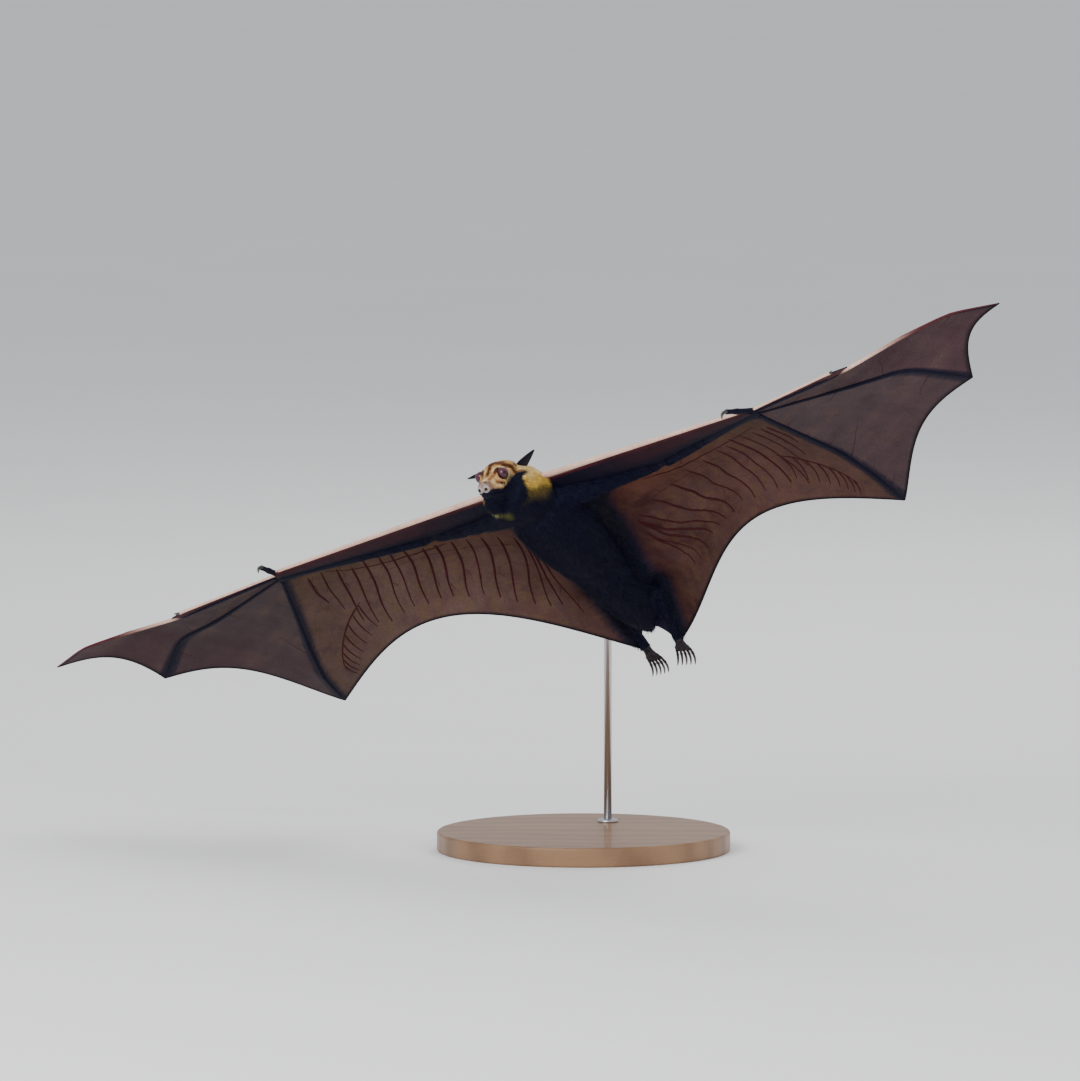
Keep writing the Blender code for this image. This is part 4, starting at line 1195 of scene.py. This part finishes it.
def wingVeins(wingName, surfaces):
    plan, dice = veinPlan[wingName], np.random.default_rng(51 if wingName == "left" else 52)
    inner, runs = surfaces["inner"], []
    for index in range(plan["count"]):  # the row of long veins that run to the trailing edge
        share = index / (plan["count"] - 1)
        end = plan["first"] + plan["step"] * index + dice.uniform(-0.005, 0.005)
        rise = min(max((share - plan["from"]) / 0.14, 0.0), 1.0)
        fall = min(max((plan["until"] - share) / 0.40, 0.0), 1.0)
        start = end - plan["drift"] * rise * fall + 0.03 * max(share - 0.75, 0.0) * 4.0
        topShare = plan["top"] + plan["sag"] * (1.0 - share) ** 1.5 + dice.uniform(-0.03, 0.04)
        low = 0.86 - 0.50 * max(share - 0.80, 0.0) / 0.20 + dice.uniform(-0.03, 0.02)
        radius = veinPlan["radius"] * dice.uniform(0.75, 1.1)
        runs.append(veinRun(inner, (min(max(start, 0.16), 0.94), topShare), (end, low), (0.008, 0.0), radius,
                            26, 0.0010, dice.uniform(0.0, 6.0)))
        v = topShare + (low - topShare) * dice.uniform(0.2, 0.8)  # a side shoot
        u = start + (end - start) * (v - topShare) / (low - topShare)
        way = (dice.choice((-0.6, 0.6)), 1.0)
        branchVeins(inner, (u, v), way, np.array((0.04, 0.18)), 0.5, 1, dice, runs)
    cross, stem = plan["cross"], plan["stem"]
    runs.append(veinRun(inner, *cross, (0.0, 0.10), 0.95, 50, 0.003))
    runs.append(veinRun(inner, (0.16, 0.30), (0.80, 0.36), (0.0, -0.04), 0.45, 50, 0.0, 1.0))
    runs.append(veinRun(inner, *stem, (0.03, 0.0), 1.0, 24, 0.002))
    for index in range(8):  # small rungs from the stem to the trailing edge
        share = (index + 0.3) / 8.0
        u, v = (stem[0][k] + (stem[1][k] - stem[0][k]) * share for k in (0, 1))
        u += 0.03 * math.sin(math.pi * share)
        rungEnd = (u - 0.035 + 0.02 * share, min(v + 0.30 * (1.0 - 0.6 * share), 0.965))
        runs.append(veinRun(inner, (u, v), rungEnd, (0.004, 0.0), 1.0, 8))
    for panel, count in (("inner", 8), ("middle", 11), ("outer", 11)):
        surface = surfaces[panel]
        for index in range(count):
            share = (index + 0.5) / count
            if panel == "inner":
                start, way = (0.14 + 0.80 * share, 0.05), (dice.uniform(-0.5, 0.5), 1.0)
                reach = np.array((0.10, 0.20))
            else:
                fromLeft = index % 2 == 0
                start = (0.03 if fromLeft else 0.97, 0.14 + 0.80 * share)
                way = (1.0 if fromLeft else -1.0, dice.uniform(-0.1, 0.7))
                reach = np.array((0.42, 0.11))
            branchVeins(surface, start, way, reach, veinPlan["fine"] + 0.18 * (index % 3 == 0), 2, dice, runs)
    return veinCurves("veins_" + wingName, runs)


def wingWiring(w):
    shares = w.node("UVMap", {"uv_map": "wingShares"})
    place = objectPlace(w)
    cells = w.node("TexVoronoi", {"feature": "DISTANCE_TO_EDGE"}, {"Vector": place, "Scale": 210.0})
    wide = w.node("TexVoronoi", {"feature": "DISTANCE_TO_EDGE"}, {"Vector": place, "Scale": 62.0})
    grain = w.noise(place, 520.0, 4.0)
    cloud = w.noise(place, 34.0, 3.0)
    lines = 1.0 - cells.between(0.0, 0.10)
    threads = 1.0 - wide.between(0.0, 0.035)
    shade = grain * 0.6 + cloud * 0.6 + 0.42 - lines * 0.09 - threads * 0.10
    colour = tintOf(w).shaded(1.0, shade + 0.02, shade, shade)
    pleats = w.node("TexWave", {"wave_type": "BANDS"}, {"Vector": shares, "Scale": 9.0, "Distortion": 2.0,
                                                        "Detail": 2.0})
    height = grain * 0.5 + lines * 0.4 + threads * 0.5 + pleats * 0.25
    return {"Base Color": colour, "Roughness": grain * 0.3 + 0.48, "Normal": w.bump(height, 0.0004, 0.6)}


def veinWiring(w):
    grain = w.noise(objectPlace(w), 300.0, 3.0)
    return {"Base Color": grain.blend((0.018, 0.003, 0.0045), (0.048, 0.007, 0.008))}


def hornWiring(w):
    place = objectPlace(w)
    grain = w.noise(w.stretch(place, (1.0, 1.0, 4.0)), 500.0, 3.0)
    return {"Base Color": grain.blend((0.010, 0.009, 0.009), (0.05, 0.042, 0.038)),
            "Roughness": grain * 0.2 + 0.22, "Normal": w.bump(grain, 0.0002, 0.5)}


wingFinish = makeFinish("wing membrane", wingWiring, 0.5, {"Specular IOR Level": 0.12})
veinFinish = makeFinish("wing vein", veinWiring, 0.6, {"Specular IOR Level": 0.1})
hornFinish = makeFinish("claw horn", hornWiring, 0.3)

# Runs are (along the foot, towards the sole) in millimetres, each beside its radii.
footPlan = {
    "palm": ((-4.0, (4.4, 4.0)), (2.0, (5.0, 3.7)), (7.5, (6.6, 3.1)), (12.0, (7.4, 2.6))),
    "toe": ((0.0, 0.0), (4.0, -0.4), (7.0, -0.9), (10.0, -0.7), (12.5, -0.6), (15.0, 0.0)),
    "toeSizes": [1.45, 1.35, 1.6, 1.3, 1.6, 1.35],
    "hook": ((14.0, -0.2), (17.0, 0.9), (19.4, 3.0), (20.8, 5.6), (21.2, 8.0)),
    "hookSizes": [(0.8, 1.3), (0.8, 1.35), (0.65, 1.1), (0.45, 0.75), (0.12, 0.2)],
    "toeGap": 3.5, "voxel": 0.55, "tint": (0.020, 0.016, 0.019),
}
clawPlan = {"bend": 95.0, "reach": 7.0, "thick": 2.7, "steps": 12}


def makeFoot(wing, bone):
    ankle = bone["ankle"]
    backWay = Vector(wing["foot"]).normalized()
    toeSide = Vector((0.0, 0.0, 1.0)).cross(backWay).normalized()
    toeSide = toeSide if toeSide.y > 0.0 else -toeSide
    sole = toeSide.cross(backWay).normalized()
    sole = sole if sole.z < 0.0 else -sole
    flesh, claws = bmesh.new(), bmesh.new()
    path = [ankle + backWay * run for run, size in footPlan["palm"]]
    tube(flesh, *easePath(path, [size for run, size in footPlan["palm"]], 3), sides=16, back=-sole)
    for toe in range(5):
        offset = (toe - 2) * footPlan["toeGap"]
        start = ankle + backWay * 8.5 + toeSide * offset * 0.9
        along = (backWay + toeSide * offset * 0.022).normalized()
        joints, hook = ([start + along * run + sole * drop for run, drop in footPlan[key]]
                        for key in ("toe", "hook"))
        tube(flesh, *easePath(joints, footPlan["toeSizes"], 3), sides=12, back=toeSide)
        tube(claws, *easePath(hook, footPlan["hookSizes"], 4), sides=12, back=toeSide)
    foot = fromBuilder("foot", flesh)
    merge = foot.modifiers.new("grown together", "REMESH")
    merge.mode = "VOXEL"
    merge.voxel_size = footPlan["voxel"]
    ease = foot.modifiers.new("ease", "SMOOTH")
    ease.factor, ease.iterations = 0.5, 3
    applyModifiers(foot)
    mottle = 1.0 + 0.3 * wobble(vertexArray(foot.data), 3.0, 61)
    paintTint(foot.data, footPlan["tint"] * mottle[:, None])
    return foot, claws


flankPlan = {"seed": 71, "rows": 56, "columns": 14, "from": 0.004, "reach": 0.24, "tries": 26000,
             "count": 10000}


def flankFur(wingName, surface, side):  # the body's fur runs out over both faces of the wing
    dice, tries = np.random.default_rng(flankPlan["seed"]), flankPlan["tries"]
    rows, columns, start, reach = (flankPlan[key] for key in ("rows", "columns", "from", "reach"))
    grid = np.array([[surface(start + reach * c / (columns - 1), 0.985 * r / (rows - 1))
                      for c in range(columns)] for r in range(rows)])
    down, out = np.gradient(grid, axis=0), np.gradient(grid, axis=1)
    faceWay = np.cross(down, out)
    faceWay *= np.sign(faceWay[..., 2:3]) / np.linalg.norm(faceWay, axis=2, keepdims=True)
    r, c = dice.uniform(0.0, rows - 1.001, tries), dice.uniform(0.0, columns - 1.001, tries)
    uneven = 0.007 * np.sin(r * 1.3) + 0.005 * np.sin(r * 3.1 + 1.0) + dice.normal(size=len(r)) * 0.009
    keep = start + reach * c / (columns - 1) < furEdge(r / (rows - 1)) - 0.014 + uneven
    r, c = r[keep][:flankPlan["count"]], c[keep][:flankPlan["count"]]
    i, j = r.astype(int), c.astype(int)
    down, right = (r - i)[:, None], (c - j)[:, None]

    def read(field):
        return ((field[i, j] * (1.0 - right) + field[i, j + 1] * right) * (1.0 - down)
                + (field[i + 1, j] * (1.0 - right) + field[i + 1, j + 1] * right) * down)

    under = (np.arange(len(r)) % 2 * 2.0 - 1.0)[:, None]
    normals = read(faceWay) * under
    roots = read(grid) + normals * wingPlan["half"]
    fade = smooth(0.0, 0.05, furEdge(r / (rows - 1)) - reach * c / (columns - 1))
    sizes = {"length": 4.0 + 4.0 * fade, "width": 0.6 + 0.2 * fade, "lift": 7.0 + 5.0 * fade}
    lie = tiled((-0.86, side * 0.5, 0.0), len(r))
    corners, tint = growTufts(roots, normals, lie, sizes, dice)
    row = 0.905 + 0.048 * (side > 0.0) + 0.022 * (under[:, 0] > 0.0)
    flat = np.stack([0.01 + 0.98 * r / rows, row + 0.018 * c / columns], 1)
    coat = coatMesh("coat_flank_" + wingName, corners, tint * marks["underCoat"], flat)
    coat.data.materials.append(coatFinish)
    settle(coat, ["wing_inner_" + wingName])
    print("flank fur", wingName, len(r))


for wingName, wing in wings.items():
    bone, side = bones[wingName], wing["side"]
    surfaces = wingSurfaces(wing, bone)
    parts = [makePanel(panel, wingName, surfaces[panel]) for panel in panels]
    parts += makeFingers(bone) + [edgeCord(surfaces), leadingRoll(surfaces)]
    foot, claws = makeFoot(wing, bone)
    wingSkin = joinAll("wing_skin_" + wingName, parts)
    nodes = ["wing_inner_", "wing_middle_", "wing_outer_", "wing_tip_web_", "wing_front_", "leg_web_",
             "finger_second_", "finger_third_", "finger_fourth_", "finger_fifth_", "thumb_"]
    finishPiece(wingSkin, wingFinish, [node + wingName for node in nodes])
    veins = wingVeins(wingName, surfaces)
    finishPiece(veins, veinFinish, ["wing_inner_" + wingName])
    finishPiece(foot, wingFinish, ["foot_" + wingName])
    toeClaws = fromBuilder("toe_claws_" + wingName, claws)
    finishPiece(toeClaws, hornFinish, ["foot_" + wingName])

    clawDown = (Vector((-0.35, 0.0, -0.94)) - bone["thumbAxis"] * 0.2).normalized()
    path, sizes = [], []
    for step in range(clawPlan["steps"] + 1):  # the thumb's hooked claw
        share = step / clawPlan["steps"]
        bend = math.radians(clawPlan["bend"]) * share
        hook = bone["thumbAxis"] * math.sin(bend) + clawDown * (1.0 - math.cos(bend))
        path.append(bone["thumbTip"] + bone["thumbAxis"] * 0.4 + hook * clawPlan["reach"])
        thick = clawPlan["thick"] * (1.0 - share) ** 0.7 + 0.2
        sizes.append((thick * 0.68, thick))
    builder = bmesh.new()
    tube(builder, path, sizes, sides=14, back=Vector((0.0, 1.0, 0.0)))
    knuckle, tip = bone["fingers"]["second"]
    ahead = (tip - knuckle).normalized()  # the small claw of the second finger
    nail = [tip - ahead * 1.0, tip + ahead * 1.6, tip + ahead * 3.2 + Vector((1.2, 0.0, -0.4)),
            tip + ahead * 5.0 + Vector((3.4, 0.0, -1.6))]
    tube(builder, *easePath(nail, [1.5, 1.5, 1.0, 0.2], 3), sides=10)
    claw = fromBuilder("wing_claws_" + wingName, builder)
    finishPiece(claw, hornFinish, ["thumb_claw_" + wingName])
    flankFur(wingName, surfaces["inner"], side)
    print("wing", wingName, "made", len(wingSkin.data.polygons), len(veins.data.polygons))

# Stand: an oiled wooden base with a brushed steel rod.
standPlan = {"radius": 150.0, "height": 20.0, "rod": 4.0, "foot": (25.0, 75.0), "entry": (-110.0, 0.0, 20.0),
             "reach": 34.0, "crook": 27.0, "depth": 12.0, "rounding": 2.4, "collar": (11.0, 10.0, 3.0),
             "collarMiddle": 21.3}
standScale = Matrix.Scale(0.001, 4)


def woodWiring(w):
    place = objectPlace(w)
    rings = w.node("TexWave", {"wave_type": "BANDS", "bands_direction": "Y"},
                   {"Vector": place, "Scale": 9.0, "Distortion": 5.0, "Detail": 3.0, "Detail Scale": 1.0})
    fibre = w.noise(w.stretch(place, (14.0, 260.0, 260.0)), 4.0, 5.0)
    cloud = w.noise(w.stretch(place, (1.0, 7.0, 7.0)), 5.0, 3.0)
    mixed = rings * 0.25 + fibre * 0.40 + cloud * 0.40
    colour = w.node("ValToRGB", {"stops": ((0.1, (0.085, 0.040, 0.020)), (0.5, (0.20, 0.105, 0.050)),
                                           (0.95, (0.30, 0.170, 0.085)))}, {0: mixed})
    return {"Base Color": colour, "Roughness": fibre * 0.25 + 0.32, "Normal": w.bump(fibre, 0.0003, 0.5)}


def steelWiring(w):
    brush = w.noise(w.stretch(objectPlace(w), (900.0, 900.0, 30.0)), 1.0, 3.0)
    return {"Base Color": brush.blend((0.46, 0.46, 0.48), (0.66, 0.66, 0.67)),
            "Roughness": brush * 0.25 + 0.2, "Normal": w.bump(brush, 0.0001, 0.3)}


woodFinish = makeFinish("oiled wood", woodWiring, 0.4, {"Coat Weight": 0.15})
steelFinish = makeFinish("brushed steel", steelWiring, 0.3, {"Metallic": 1.0})
builder = bmesh.new()
bmesh.ops.create_cone(builder, cap_ends=True, segments=128, radius1=standPlan["radius"],
                      radius2=standPlan["radius"], depth=standPlan["height"],
                      matrix=Matrix.Translation((0.0, 0.0, standPlan["height"] / 2.0)))
rims = [edge for edge in builder.edges if len({round(corner.co.z, 1) for corner in edge.verts}) == 1]
bmesh.ops.bevel(builder, geom=rims, offset=standPlan["rounding"], affect="EDGES", segments=4, profile=0.5,
                material=-1)
base = fromBuilder("stand_base_wood", builder)
base.data.transform(standScale)
base.data.materials.append(woodFinish)
settle(base, ["stand_base"])

entry = batPlaced @ Vector(standPlan["entry"])
outward = (batPlaced.to_3x3() @ Vector((0.0, 0.0, 1.0))).normalized()
turnPoint = entry + outward * standPlan["reach"]
crook = standPlan["crook"]
rise = Vector((*standPlan["foot"], turnPoint.z - crook * 0.7))
rodPath = [Vector((*standPlan["foot"], 8.0)), rise]
pull = Vector((*standPlan["foot"], rise.z + crook * 1.6))
lean = turnPoint + outward * crook * 0.6
for step in range(1, 25):  # the crook at the top of the rod
    share = step / 24.0
    rodPath.append(rise.lerp(pull, share).lerp(lean.lerp(turnPoint, share), share))
rodPath += [entry + outward * 6.0, entry - outward * standPlan["depth"]]
builder = bmesh.new()
tube(builder, rodPath, [standPlan["rod"]] * len(rodPath), sides=24, back=Vector((1.0, 0.0, 0.0)), blunt=0.0)
lower, upper, thick = standPlan["collar"]
bmesh.ops.create_cone(builder, cap_ends=True, segments=48, radius1=lower, radius2=upper, depth=thick,
                      matrix=Matrix.Translation((*standPlan["foot"], standPlan["collarMiddle"])))
bmesh.ops.recalc_face_normals(builder, faces=builder.faces)
rod = fromBuilder("stand_rod_steel", builder)
rod.data.transform(standScale)
rod.data.materials.append(steelFinish)
rod.data.shade_smooth()
settle(rod, ["stand_rod"])
print("stand made")

# Floor, light and camera.
floorPlan = {"half": 45.0, "colour": (0.80, 0.80, 0.79), "cloud": (0.84, 0.84, 0.83)}
builder = bmesh.new()
bmesh.ops.create_grid(builder, x_segments=1, y_segments=1, size=floorPlan["half"])
floor = fromBuilder("floor", builder)


def floorWiring(w):
    cloud = w.noise(objectPlace(w), 3.0, 2.0)
    return {"Base Color": cloud.blend(floorPlan["colour"], floorPlan["cloud"])}


floor.data.materials.append(makeFinish("plain floor", floorWiring, 0.9))

lampPlan = {  # place, size and power
    "key": ((-1.6, -2.4, 2.3), 2.0, 95.0), "fill": ((1.8, -3.2, 0.9), 2.6, 60.0),
    "rim": ((0.6, 2.4, 2.8), 2.0, 60.0),
}
lampAim = Vector((0.0, 0.0, 0.35))
for lampName, (spot, size, power) in lampPlan.items():
    lamp = bpy.data.lights.new(lampName, "AREA")
    lamp.size, lamp.energy = size, power
    holder = bpy.data.objects.new(lampName, lamp)
    bpy.context.scene.collection.objects.link(holder)
    holder.location = spot
    holder.visible_glossy = lampName == "key"  # one highlight on each eye
    holder.rotation_euler = (lampAim - Vector(spot)).to_track_quat("-Z", "Y").to_euler()
worldPlan = {"Color": (0.93, 0.95, 1.0, 1.0), "Strength": 0.75}
world = bpy.data.worlds.new("studio")
world.use_nodes = True
for key, value in worldPlan.items():
    world.node_tree.nodes["Background"].inputs[key].default_value = value
bpy.context.scene.world = world

cameraPlan = {"elevation": 6.0, "distance": 20.0, "lens": 654.38, "shiftX": 0.000435, "shiftY": -0.03297}
tilt = math.radians(cameraPlan["elevation"])
toward = Vector((0.0, -math.cos(tilt), math.sin(tilt)))
viewTurn = Matrix(((1.0, 0.0, 0.0), (0.0, math.sin(tilt), math.cos(tilt)), tuple(toward))).transposed()
cameraData = bpy.data.cameras.new("camera")
cameraData.lens, cameraData.sensor_width, cameraData.clip_end = cameraPlan["lens"], 36.0, 200.0
cameraData.shift_x, cameraData.shift_y = cameraPlan["shiftX"], cameraPlan["shiftY"]
camera = bpy.data.objects.new("camera", cameraData)
bpy.context.scene.collection.objects.link(camera)
target = attitude["shoulders"] * 0.001
camera.matrix_world = Matrix.Translation(target + toward * cameraPlan["distance"]) @ viewTurn.to_4x4()
bpy.context.scene.camera = camera
print("scene lit")
